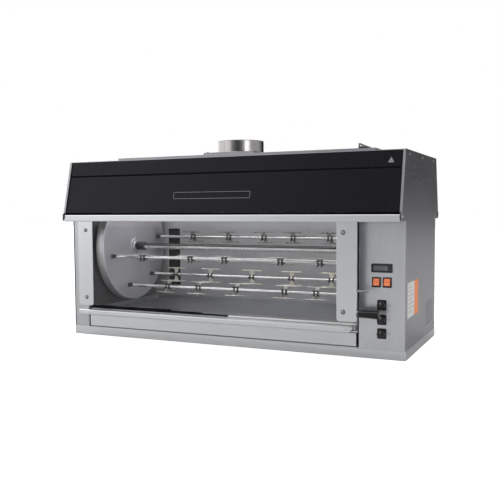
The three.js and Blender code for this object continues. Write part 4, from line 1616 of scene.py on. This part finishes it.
@dataclass
class Rotor(Assembly):
    """Two rimmed discs on a shaft, carrying six spits with their forks."""

    rim: float = 35 * MM
    stations: tuple[tuple[float, ...], ...] = (
        (-0.391, -0.178, -0.035, 0.187, 0.334), (-0.348, -0.207, -0.043, 0.157, 0.281),
        (-0.407, -0.242, -0.052, 0.120, 0.285), (-0.350, -0.181, -0.020, 0.108, 0.262),
        (-0.390, -0.215, -0.040, 0.135, 0.310), (-0.360, -0.200, -0.030, 0.150, 0.300),
    )
    turned: tuple[float, ...] = (63, -40, 0, 38, 20, 75)
    clean_spit: int = 3
    fork: Fork = field(default_factory=Fork)

    def build(self) -> None:
        """Makes the discs, the shaft, the spits and the drive."""
        centre = joint_at("rotor_turn")
        self.disc("left_disc", "drive_disc", centre, Facing.RIGHT)
        self.disc("right_disc", "idler_disc", centre, Facing.LEFT)
        self.shaft(centre)
        for number in range(1, 7):
            self.spit(number)
        dress(
            CAST, "gear_motor", "main_gear", "motor_pinion", "sun_gear",
            *[f"planet_gear_{n}" for n in range(1, 7)],
        )
        dress(BRASS, "shaft_bearing")

    def disc(self, name: str, node: str, centre: Vector, facing: Facing) -> None:
        """One pressed disc: flat face, round shoulder, deep rim with a rolled edge, and bolted hub.

        Args:
            name: of the piece.
            node: the frame node that it stands for.
            centre: a point on the shaft's axis.
            facing: the way its face looks.
        """
        low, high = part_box(node)
        radius, t = (high.z - low.z) / 2, self.sheet
        face = -0.535 if facing is Facing.RIGHT else -0.440
        origin = (0, centre.y, centre.z)
        shoulder, bend = face - 7 * MM, 4 * MM
        profile = [
            (14 * MM, face), (14 * MM, face - t), (radius - t, face - t), (radius - t, shoulder),
            (radius - 0.1 * MM, shoulder),
            *arc((radius - 0.1 * MM - bend, face - bend), bend, 0, 90, 6),
        ]
        plate = Builder().turned(profile, facing, origin, 144)
        plate.build(name, STEEL_DISC, "rotor", stands_for=[node])
        back, roll = face - self.rim, 1.6 * MM
        band = [
            (radius - t, shoulder + 0.2 * MM), (radius - t, back + 3 * MM),
            *arc((radius - roll, back + roll), roll, 200, 360, 8), (radius, shoulder + 0.2 * MM),
        ]
        Builder().turned(band, facing, origin, 144).build(name + "_rim", STEEL_RIM, "rotor")
        self.hub(name, face, origin, facing)
        self.sockets(name, face, facing)

    def hub(self, name: str, face: float, origin: Sequence[float], facing: Facing) -> None:
        """The stepped plate that clamps a disc to the shaft, with six screws.

        Args:
            name: of the disc.
            face: the disc's distance along the shaft.
            origin: a point on the axis.
            facing: the way the disc looks.
        """
        bore = 12.4 * MM
        profile = [
            (bore, face), (34 * MM, face), (34 * MM, face + 2.4 * MM), (33 * MM, face + 3 * MM),
            (21 * MM, face + 3 * MM), (20 * MM, face + 4 * MM), (20 * MM, face + 6.6 * MM),
            (bore, face + 6.6 * MM),
        ]
        hub, bolts = Builder().turned(profile, facing, origin, 48), Builder()
        hub.build(name + "_hub", STEEL_DISC, "rotor")
        place = facing.matrix(origin)
        ring = [math.radians(30 + 60 * k) for k in range(6)]
        spots = [
            place @ Vector((27 * MM * math.cos(a), 27 * MM * math.sin(a), face + 3 * MM)) for a in ring
        ]
        Screw(3.4 * MM, 2.2 * MM).add(bolts, facing, *spots)
        bolts.build(name + "_bolts", SCREW_STEEL, "rotor")

    def sockets(self, name: str, face: float, facing: Facing) -> None:
        """The six collars in which the spits turn.

        Args:
            name: of the disc.
            face: the disc's distance along the shaft.
            facing: the way the disc looks.
        """
        bore, out = 5.4 * MM, face + 5.5 * MM
        foot = face + 0.2 * MM
        profile = [(bore, foot), (9 * MM, foot), (9 * MM, face + 2.4 * MM), (8 * MM, out), (bore, out)]
        sockets = Builder()
        for number in range(1, 7):
            axis = joint_at(f"spit_{number}_spin")
            sockets.turned(profile, facing, (0, axis.y, axis.z), 24)
        sockets.build(name + "_sockets", CLAMP, "rotor")

    def shaft(self, centre: Vector) -> None:
        """The round shaft with a clamped sleeve at each disc.

        Args:
            centre: a point on the shaft's axis.
        """
        low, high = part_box("rotor_shaft")
        radius = (high.z - low.z) / 2
        origin = (0, centre.y, centre.z)
        bar = [
            (0, low.x), (radius - MM, low.x), (radius, low.x + MM), (radius, high.x - MM),
            (radius - MM, high.x), (0, high.x),
        ]
        shaft = Builder().turned(bar, Facing.RIGHT, origin, 40)
        shaft.build("main_shaft", SHAFT_STEEL, "rotor", stands_for=["rotor_shaft"])
        sleeves = Builder()
        bore, outside = 12.3 * MM, 17 * MM
        for start, end in ((-0.526, -0.487), (0.392, 0.431)):
            profile = [
                (bore, start), (outside - MM, start), (outside, start + MM), (outside, end - MM),
                (outside - MM, end), (bore, end),
            ]
            sleeves.turned(profile, Facing.RIGHT, origin, 32)
        sleeves.build("shaft_sleeves", CLAMP, "rotor")

    def spit(self, number: int) -> None:
        """One spit: the bar with its tapered socket ends, end collars, five forks and their clamps.

        Args:
            number: of the spit, 1 to 6.
        """
        node = f"spit_{number}"
        low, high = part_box(node)
        axis = joint_at(f"{node}_spin")
        origin = (0, axis.y, axis.z)
        thin, thick, bore = 5 * MM, 6.4 * MM, 5.1 * MM
        bar = [
            (0, low.x), (thin, low.x), (thin, -0.5285), (thick, -0.505), (thick, 0.410), (thin, 0.432),
            (thin, high.x - 6 * MM), (0.6 * thin, high.x), (0, high.x),
        ]
        Builder().turned(bar, Facing.RIGHT, origin, 20).build(
            f"{node}_bar", BAR_STEEL, node, stands_for=[node]
        )
        left = [(bore, -0.529), (8 * MM, -0.529), (8 * MM, -0.525), (6.8 * MM, -0.517), (bore, -0.512)]
        right = [(bore, 0.418), (6.8 * MM, 0.422), (8 * MM, 0.430), (8 * MM, 0.434), (bore, 0.434)]
        collars, clamps = Builder(), Builder()
        for profile in (left, right):
            collars.turned(profile, Facing.RIGHT, origin, 20)
        collars.build(f"{node}_collars", CLAMP, node)
        turn = self.turned[number - 1]
        finish = FORK_STEEL if number == self.clean_spit else FORK_WORN
        for k, x in enumerate(self.stations[number - 1]):
            fork = Builder()
            self.fork.add(fork, x, axis.y, axis.z)
            fork.turn_x(turn, axis).build(f"{node}_fork_{k + 1}", finish, node)
            self.fork.clamp(clamps, x, axis.y, axis.z)
        clamps.turn_x(turn, axis).build(f"{node}_clamps", CLAMP, node)


# ------------------------------------------------------------------ door
@dataclass
class Door(Assembly):
    """The glass door that hangs from its rail under the hood."""

    latch_height: float = 0.223

    def build(self) -> None:
        """Makes the rail, strips, pane, handle and latch pin."""
        self.rail()
        for side in ("left", "right"):
            self.strip(side)
        self.pane()
        self.handle()
        self.latch()

    def rail(self) -> None:
        """The folded rail with its pins, and a round cap about each pin."""
        low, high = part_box("door_rail")
        front, t, end, root = low.y, self.sheet, SKIN - 7 * MM, SKIN - 21 * MM
        y, z = -HINGE[0], HINGE[1]
        line = [
            (front + 9 * MM, low.z + t / 2), (front + t / 2, low.z + t / 2),
            (front + t / 2, high.z - t / 2), (front + 9 * MM, high.z - t / 2),
        ]
        rail, caps = Builder(), Builder()
        rail.prism(folded(line, t, 2.2 * MM), Facing.RIGHT, -end, end)
        radius, tip = 4 * MM, high.x
        pin = [(0, root), (radius, root), (radius, tip - 0.6 * MM), (radius - 0.6 * MM, tip), (0, tip)]
        for side, facing in ((-1, Facing.LEFT), (1, Facing.RIGHT)):
            rail.turned(pin, facing, (0, y, z), 24)
            near, far = sorted((side * root, side * (end - 0.5 * MM)))
            rail.block((near, front + t, z - 6 * MM), (far, y + 5 * MM, z + 6 * MM))
            cap = circle((-side * HINGE[0], z), 13.6 * MM, 40)
            caps.plate(cap, facing, end + 0.5 * MM, 3.2 * MM, edge=0.5 * MM)
        rail.build("hinge_rail", STEEL_X, "door", stands_for=["door_rail"])
        caps.build("rail_caps", DARK_CLIP, "door")

    def strip(self, side: str) -> None:
        """One clamp strip with round lower corners, two dome screws and their washers.

        Args:
            side: left or right.
        """
        low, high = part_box(f"door_strip_{side}")
        outline = [
            *arc((high.x - 9 * MM, low.z + 9 * MM), 9 * MM, -90, 0), (high.x, high.z), (low.x, high.z),
            *arc((low.x + 9 * MM, low.z + 9 * MM), 9 * MM, 180, 270),
        ]
        strip = Builder().plate(outline, Facing.FRONT, -high.y, high.y - low.y, edge=0.9 * MM)
        strip.build(f"clamp_strip_{side}", STEEL_Z, "door", stands_for=[f"door_strip_{side}"])
        screws, washers = Builder(), Builder()
        x = low.x + (0.55 if side == "left" else 0.33) * (high.x - low.x)
        for z in (low.z + 0.03, high.z - 0.044):
            washers.turned(
                [(0, 0), (7.8 * MM, 0), (7.8 * MM, 0.5 * MM), (0, 0.6 * MM)], Facing.FRONT,
                (x, low.y, z), 24,
            )
            Screw(5.6 * MM, 2.3 * MM).add(screws, Facing.FRONT, (x, low.y - 0.45 * MM, z))
        screws.build(f"clamp_screws_{side}", SCREW_STEEL, "door")
        washers.build(f"clamp_washers_{side}", CLAMP, "door")

    def pane(self) -> None:
        """The glass with ground edges."""
        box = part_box("door_glass")
        low, high = box
        pane = Builder().plate(
            inset(box, "xz", 0, 5 * MM), Facing.FRONT, -high.y, high.y - low.y, edge=0.8 * MM
        )
        pane.build("glass_pane", PANE, "door", stands_for=["door_glass"])

    def handle(self) -> None:
        """The round black grip with a steel ferrule and a domed end."""
        low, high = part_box("door_handle")
        middle = (low + high) / 2
        start, end, radius, dome = low.x, high.x, (high.z - low.z) / 2, 5 * MM
        origin = (0, middle.y, middle.z)
        grip = [
            (0, start + dome), (radius - 3.6 * MM, start + dome), (radius - 2.8 * MM, start + 6.5 * MM),
            (radius - 1.6 * MM, middle.x), (radius, end - dome),
            *arc((radius - dome, end - dome), dome, 15, 90, 5), (0, end),
        ]
        handle = Builder().turned(grip, Facing.RIGHT, origin, 48)
        handle.build("door_grip", BLACK_GLOSS, "door", stands_for=["door_handle"])
        ring = [(0, start), (radius * 0.7, start), (radius * 0.7, start + dome), (0, start + dome)]
        Builder().turned(ring, Facing.RIGHT, origin, 32).build("grip_ferrule", SCREW_STEEL, "door")

    def latch(self) -> None:
        """The small latch pin beside the right strip."""
        low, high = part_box("door_strip_right")
        pin = [
            (0, 0), (2.6 * MM, 0), (2.6 * MM, 4 * MM), (3.6 * MM, 4.5 * MM), (3.6 * MM, 26 * MM),
            (2 * MM, 40 * MM), (0, 41 * MM),
        ]
        latch = Builder().turned(
            pin, Facing.RIGHT, (high.x, (low.y + high.y) / 2, self.latch_height), 20
        )
        latch.build("latch_pin", SCREW_STEEL, "door")


# ------------------------------------------------------------------ tray and drawer
@dataclass
class Trays(Assembly):
    """The drip tray with its front lip, and the drawer under it."""

    def build(self) -> None:
        """Makes both pull-out parts."""
        self.drip_tray()
        self.front_strips()
        self.drawer()

    def pan(self, low: Vector, high: Vector) -> Builder:
        """An open pan with rounded upright corners.

        Args:
            low, high: opposite corners of the pan.

        Returns:
            The builder.
        """
        box, t, step = (low, high), self.sheet, 0.1 * MM
        pan = Builder().plate(inset(box, "xy", 0, 6 * MM), Facing.UP, low.z, t, edge=0.4 * MM)
        inside = inset(box, "xy", t, 4.5 * MM)
        return pan.plate(
            inset(box, "xy", step, 6 * MM), Facing.UP, low.z + 2 * step, high.z - low.z - 2 * step,
            [inside], 0.4 * MM,
        )

    def drip_tray(self) -> None:
        """The wide tray and its folded lip with a cut corner."""
        low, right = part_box("drip_tray")[0], 0.484
        pan = self.pan(Vector((-0.5777, -0.244, low.z)), Vector((0.487, 0.230, 0.103)))
        t, top, inner = self.sheet, 0.101, -0.243
        front, bottom, cut = low.y, 0.0828, right - 19 * MM
        line = [
            (inner, top - t / 2), (front + t / 2, top - t / 2), (front + t / 2, bottom),
            (front + 7 * MM, bottom),
        ]
        lip = Builder().prism(folded(line, t, 2.4 * MM), Facing.RIGHT, low.x, cut)
        corner = [
            (cut - MM, bottom - t / 2), (cut + 3 * MM, bottom - t / 2), (right, top - 4 * MM),
            (right, top - 0.6 * MM), (cut - MM, top - 0.6 * MM),
        ]
        lip.plate(corner, Facing.FRONT, -front - t, t, edge=0.3 * MM)
        lip.block((cut - MM, front + MM, top - t), (right, inner, top - 0.2 * MM))
        lip.build("tray_lip", STEEL_X, "drip_tray")
        pan.build("drip_pan", STEEL_TRAY, "drip_tray", stands_for=["drip_tray"])

    def front_strips(self) -> None:
        """The stepped black band of painted shade and the bright edge along the tray's front, and the
        sill below it.
        """
        foot, near, far = 0.1032, -0.2438, -0.2418
        # Painted shade: a black band, stepped lower to the right, where the cavity shows dark under the
        # glass.
        shade_band = Builder()
        for start, end, top in (
            (-0.576, -0.215, 0.117), (-0.2149, -0.085, 0.1122), (-0.0849, 0.02, 0.1092)
        ):
            shade_band.block((start, near, foot), (end, far, top))
        shade_band.soften(0.4 * MM).build("tray_shade_band", SHADE_BLACK, "drip_tray")
        edge = Builder().block((0.0201, near, foot), (0.486, far, 0.1086)).soften(0.5 * MM)
        edge.build("tray_edge", STEEL_RIM, "drip_tray")
        sill = Builder().block((-0.580, -0.2490, 0.0805), (0.494, -0.2470, 0.0855)).soften(0.4 * MM)
        sill.build("front_sill", STEEL_X)

    def drawer(self) -> None:
        """The grease drawer with a folded front."""
        low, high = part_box("grease_drawer")
        pan = self.pan(Vector((-0.567, -0.2485, 0.035)), Vector((0.482, high.y, 0.070)))
        t = self.sheet
        line = [
            (low.y + 12 * MM, high.z - t / 2), (low.y + t / 2, high.z - t / 2),
            (low.y + t / 2, low.z + t / 2), (low.y + 10 * MM, low.z + t / 2),
        ]
        left, right = low.x + 3 * MM, high.x - 4.5 * MM
        pan.prism(folded(line, t, 1.6 * MM), Facing.RIGHT, left, right)
        for x in (left, right - t):
            pan.block((x, low.y + MM, low.z + MM), (x + t, low.y + 12 * MM, high.z - MM))
        pan.build("drawer_pan", STEEL_X, "grease_drawer", stands_for=["grease_drawer"])


# ------------------------------------------------------------------ controls
@dataclass
class Controls(Assembly):
    """The control panel with its display, switches, knobs and the side label."""

    front: float = 0.250
    spindle: float = 5 * MM
    rocker_tilt: float = -11

    def build(self) -> None:
        """Makes everything on the control column."""
        self.panel()
        self.marks()
        self.display()
        for number in (1, 2):
            self.switch(number)
        for number in (1, 2, 3):
            self.knob(number)
        self.label()

    def panel(self) -> None:
        """The panel with its cut-outs and folded inner edge."""
        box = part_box("control_panel")
        low, high = box
        holes = [inset(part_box(f"switch_housing_{n}"), "xz", 1.4 * MM, 1 * MM) for n in (1, 2)]
        holes.append(inset(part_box("temperature_display"), "xz", 3 * MM, 1 * MM))
        for number in (1, 2, 3):
            a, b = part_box(f"knob_{number}")
            holes.append(circle(((a.x + b.x) / 2, (a.z + b.z) / 2), self.spindle, 24))
        outline = inset(box, "xz", 0, 1.5 * MM)
        panel = Builder().plate(
            outline, Facing.FRONT, self.front - self.sheet, self.sheet, holes, 0.6 * MM
        )
        step = 0.1 * MM
        panel.block(
            (low.x + step, -self.front + MM, low.z + 2 * step),
            (low.x + self.sheet, high.y, high.z - 2 * step),
        )
        panel.build("control_sheet", STEEL_PANEL, stands_for=["control_panel"])

    def marks(self) -> None:
        """A plain ring and a dot printed beside each knob."""
        marks = Builder()
        back, thickness, edge = self.front - 0.1 * MM, 0.25 * MM, 0.05 * MM
        for number in (1, 2, 3):
            a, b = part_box(f"knob_plate_{number}")
            x, z = b.x + 11 * MM, (a.z + b.z) / 2
            hole = circle((x, z), 2.5 * MM, 24)
            marks.plate(circle((x, z), 3.4 * MM, 24), Facing.FRONT, back, thickness, [hole], edge)
            dot = circle((x, z + 9 * MM), 1.1 * MM, 16)
            marks.plate(dot, Facing.FRONT, back, thickness, edge=edge)
        marks.build("panel_marks", PRINT_GREY)

    def display(self) -> None:
        """The controller: rounded bezel, recessed window, blank digits and four keys."""
        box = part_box("temperature_display")
        low, high = box
        opening = rounded(low.x + 6 * MM, high.x - 13 * MM, low.z + 5 * MM, high.z - 5 * MM, 1 * MM)
        bezel = Builder().plate(
            inset(box, "xz", 0, 2.5 * MM), Facing.FRONT, self.front + 0.2 * MM, 3.8 * MM, [opening],
            0.8 * MM,
        )
        step = 3.4 * MM
        bezel.block(
            (low.x + step, -self.front - 0.5 * MM, low.z + step), (high.x - step, -0.196, high.z - step)
        )
        bezel.build("display_bezel", BLACK_PLASTIC, stands_for=["temperature_display"])
        pane = rounded(
            low.x + 5.6 * MM, high.x - 12.6 * MM, low.z + 4.6 * MM, high.z - 4.6 * MM, 1 * MM
        )
        window = Builder().plate(pane, Facing.FRONT, self.front + 1.2 * MM, 1.1 * MM, edge=0.2 * MM)
        window.build("display_window", SCREEN_GREY)
        self.digits(low)
        keys = Builder()
        for row in range(2):
            for column in range(2):
                x, z = high.x - (9.4 - 5 * column) * MM, low.z + (9 + 8.5 * row) * MM
                key = centred(x, z, 3.6 * MM, 5.2 * MM, 0.8 * MM)
                keys.plate(key, Facing.FRONT, self.front + 3.8 * MM, 0.6 * MM, edge=0.2 * MM)
        keys.build("display_keys", DARK_CLIP)

    def digits(self, corner: Vector) -> None:
        """Three unlit figures of seven bars each, set out from the display's lower left corner.

        Args:
            corner: the display's lower left corner.
        """
        width, bar, level = 7 * MM, 1 * MM, 5.6 * MM
        front, back = -self.front - 2.5 * MM, -self.front - 2.2 * MM
        digits = Builder()
        for k in range(3):
            left, bottom = corner.x + (11 + 13 * k) * MM, corner.z + 7.4 * MM
            for row in range(3):
                z = bottom + row * level
                digits.block((left, front, z), (left + width, back, z + bar))
            for x in (left, left + 6.2 * MM):
                digits.block((x, front, bottom + 0.6 * MM), (x + bar, back, bottom + 11.4 * MM))
        digits.build("display_digits", SCREEN_MARK)

    def switch(self, number: int) -> None:
        """One rocker switch: deep housing and an orange key with two marks.

        Args:
            number: of the switch, 1 or 2.
        """
        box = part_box(f"switch_housing_{number}")
        low, high = box
        well = rounded(low.x + 3.6 * MM, high.x - 3.6 * MM, low.z + 3 * MM, high.z - 3 * MM, 0.8 * MM)
        house = Builder().plate(
            inset(box, "xz", 0, 2 * MM), Facing.FRONT, self.front + 0.3 * MM, 2.7 * MM, [well], 0.6 * MM
        )
        deep = 26 * MM
        house.plate(
            inset(box, "xz", 2 * MM, 1 * MM), Facing.FRONT, self.front - deep, deep + 0.6 * MM, [well],
            0.3 * MM,
        )
        house.build(f"switch_frame_{number}", BLACK_PLASTIC, stands_for=[f"switch_housing_{number}"])
        name = f"rocker_{number}"
        centre = joint_at(f"{name}_tip")
        half, height = 9.8 * MM, 11.3 * MM
        face = [
            (-6.6 * MM, -height), (-5 * MM, -1 * MM), (-5 * MM, 1 * MM), (-6.6 * MM, height),
            (4 * MM, height), (7 * MM, 0), (4 * MM, -height),
        ]
        key = Builder().prism(face, Facing.RIGHT, -half, half, centre).soften(0.7 * MM, 3)
        key.turn_x(self.rocker_tilt, centre).build(
            f"rocker_key_{number}", ORANGE_LENS, name, stands_for=[name]
        )
        marks = Builder().block(
            (centre.x - 0.6 * MM, centre.y - 6.35 * MM, centre.z + 4 * MM),
            (centre.x + 0.6 * MM, centre.y - 5.3 * MM, centre.z + 8.4 * MM),
        )
        ring, hole = (
            circle((centre.x, centre.z - 6 * MM), radius, 20) for radius in (2.3 * MM, 1.5 * MM)
        )
        marks.plate(ring, Facing.FRONT, -centre.y + 5.4 * MM, 0.75 * MM, [hole], 0.05 * MM)
        marks.turn_x(self.rocker_tilt, centre).build(f"rocker_marks_{number}", LABEL_WHITE, name)

    def knob(self, number: int) -> None:
        """One gas knob on its square plate: fluted skirt, raised grip and a pointer line.

        Args:
            number: of the knob, 1 to 3.
        """
        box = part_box(f"knob_plate_{number}")
        low, high = box
        x, z = (low.x + high.x) / 2, (low.z + high.z) / 2
        origin = (x, 0, z)
        hole = circle((x, z), self.spindle, 24)
        plate = Builder().plate(
            inset(box, "xz", 0, 2.5 * MM), Facing.FRONT, -high.y, high.y - low.y, [hole], 0.7 * MM
        )
        plate.build(f"knob_base_{number}", BLACK_PLASTIC, stands_for=[f"knob_plate_{number}"])
        name, back, flutes = f"knob_{number}", 0.2536, 48
        front = -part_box(name)[0].y
        outline = []
        for k in range(flutes):
            radius, angle = (13 if k % 2 else 12.3) * MM, 2 * math.pi * k / flutes
            outline.append((radius * math.cos(angle), radius * math.sin(angle)))
        cap = Builder().prism(
            outline, Facing.FRONT, back, front - 5 * MM, origin
        ).soften(0.5 * MM, 2, 60)
        grip = centred(0, 0, 6.8 * MM, 24.4 * MM, 3.2 * MM, 6)
        cap.plate(
            grip, Facing.FRONT, front - 6 * MM, 6 * MM, edge=MM, place=Facing.FRONT.matrix(origin)
        )
        spindle = [(0, 0.222), (4 * MM, 0.222), (4 * MM, back + MM), (0, back + MM)]
        cap.turned(spindle, Facing.FRONT, origin, 20)
        cap.build(f"knob_cap_{number}", BLACK_PLASTIC, name, stands_for=[name])
        line = Builder().block(
            (x - 0.5 * MM, -front - 0.02 * MM, z + 4 * MM),
            (x + 0.5 * MM, -front + 0.5 * MM, z + 11 * MM),
        )
        line.build(f"knob_pointer_{number}", LABEL_WHITE, name)

    def label(self) -> None:
        """The side label: a blank plate, pale in front and orange behind, with plain rules."""
        halves = (
            ("label_pale", -0.225, -0.122, LABEL_WHITE), ("label_orange", -0.122, -0.060, LABEL_ORANGE)
        )
        for name, near, far, finish in halves:
            half = Builder().plate(
                rounded(near, far, 0.131, 0.245, 2 * MM), Facing.RIGHT, SKIN - 0.1 * MM, 0.5 * MM,
                edge=0.1 * MM,
            )
            half.build(name, finish)
        rules = Builder()
        for k in range(7):
            z, length = 0.150 + 0.013 * k, 0.080 if k % 3 else 0.055
            rules.block((SKIN + 0.3 * MM, -0.215, z), (SKIN + 0.5 * MM, -0.215 + length, z + 1.4 * MM))
        rules.build("label_rules", SIGN_GREY)


# ------------------------------------------------------------------ studio
@dataclass
class Studio:
    """Camera, lamps, surroundings and floor."""

    position: tuple[float, float, float] = (1.1265, -2.4325, 0.4875)
    yaw: float = 24.96
    pitch: float = 3.45
    roll: float = -0.38
    lens: float = 50.2

    def build(self) -> None:
        """Sets the whole studio."""
        bpy.context.scene.view_settings.view_transform = "Standard"
        self.camera()
        self.surroundings()
        self.lamps()
        self.floor()

    def camera(self) -> None:
        """The camera at eye height, front right."""
        yaw, pitch, roll = (math.radians(a) for a in (self.yaw, self.pitch, self.roll))
        ahead = Vector(
            (-math.sin(yaw) * math.cos(pitch), math.cos(yaw) * math.cos(pitch), -math.sin(pitch))
        )
        right = Vector((math.cos(yaw), math.sin(yaw), 0))
        up = right.cross(ahead)
        level = right * math.cos(roll) + up * math.sin(roll)
        upright = up * math.cos(roll) - right * math.sin(roll)
        data = bpy.data.cameras.new("camera")
        data.lens, data.sensor_width = self.lens, 36
        camera = bpy.data.objects.new("camera", data)
        camera.matrix_world = Matrix.Translation(self.position) @ Matrix(
            (level, upright, -ahead)
        ).transposed().to_4x4()
        bpy.context.scene.collection.objects.link(camera)
        bpy.context.scene.camera = camera

    def surroundings(self) -> None:
        """White to the eye, and a soft left-to-right fall of light in reflections."""
        world = bpy.data.worlds.new("surroundings")
        bpy.context.scene.world = world
        world.use_nodes = True
        world.node_tree.nodes.clear()
        g = Graph(world.node_tree)
        way = g.node("SeparateXYZ", {0: g.node("TexCoord").outputs["Generated"]})
        across = g.span(way.outputs[0], -0.64, -0.28, 1.8, 0.37)
        falling = g.span(way.outputs[0], -0.28, 0.18, 0.0, -0.42)
        far_right = g.span(way.outputs[0], 0.35, 0.85, 0.0, 0.9)
        over = g.span(way.outputs[2], 0.5, 0.95, 0.0, 1.2)
        level = g.plus(g.plus(across, falling), g.plus(far_right, over))
        glow = g.node("Background", {"Color": (1.0, 1.0, 1.0, 1.0), "Strength": level}).outputs[0]
        seen = g.node("Background", {"Color": (1.0, 1.0, 1.0, 1.0), "Strength": 1.0}).outputs[0]
        eye = g.node("LightPath").outputs["Is Camera Ray"]
        g.node("OutputWorld", {"Surface": g.node("MixShader", {0: eye, 1: glow, 2: seen}).outputs[0]})

    def lamps(self) -> None:
        """Large soft lamps."""
        plan = (
            ("key", (-2.6, -3.2, 2.4), (2.6, 2.6), 18.0), ("top", (0.4, -0.6, 3.2), (3.0, 3.0), 24.0),
            ("front", (2.5, -1.7, 0.75), (1.2, 1.0), 14.5),
            ("inside", (-0.05, -0.02, 0.555), (0.95, 0.22), 2.2),
            ("low", (1.5, -3.3, 0.14), (1.6, 0.14), 5.0),
        )
        for name, position, size, power in plan:
            data = bpy.data.lights.new(name, "AREA")
            data.shape, data.size, data.size_y, data.energy = "RECTANGLE", *size, power
            lamp = bpy.data.objects.new(name, data)
            lamp.location = position
            lamp.rotation_euler = (
                Vector((-0.05, 0, 0.2)) - lamp.location
            ).to_track_quat("-Z", "Y").to_euler()
            lamp.visible_camera = False
            bpy.context.scene.collection.objects.link(lamp)

    def floor(self) -> None:
        """A wide pale sheet just under the plinth."""
        sheet = bmesh.new()
        bmesh.ops.create_grid(sheet, x_segments=8, y_segments=8, size=14.0)
        mesh = bpy.data.meshes.new("floor")
        sheet.to_mesh(mesh)
        sheet.free()
        mesh.materials.append(FLOOR.material())
        floor = bpy.data.objects.new("floor", mesh)
        floor.location.z = -0.2 * MM
        bpy.context.scene.collection.objects.link(floor)


def main() -> None:
    """Builds the studio, then the oven from the outside in."""
    logging.basicConfig(level=logging.INFO, format="%(message)s")
    for part in (Studio(), Cabinet(), Hood(), Cavity(), Rotor(), Door(), Trays(), Controls()):
        LOG.info("building %s", type(part).__name__)
        part.build()


if __name__ == "__main__":
    main()
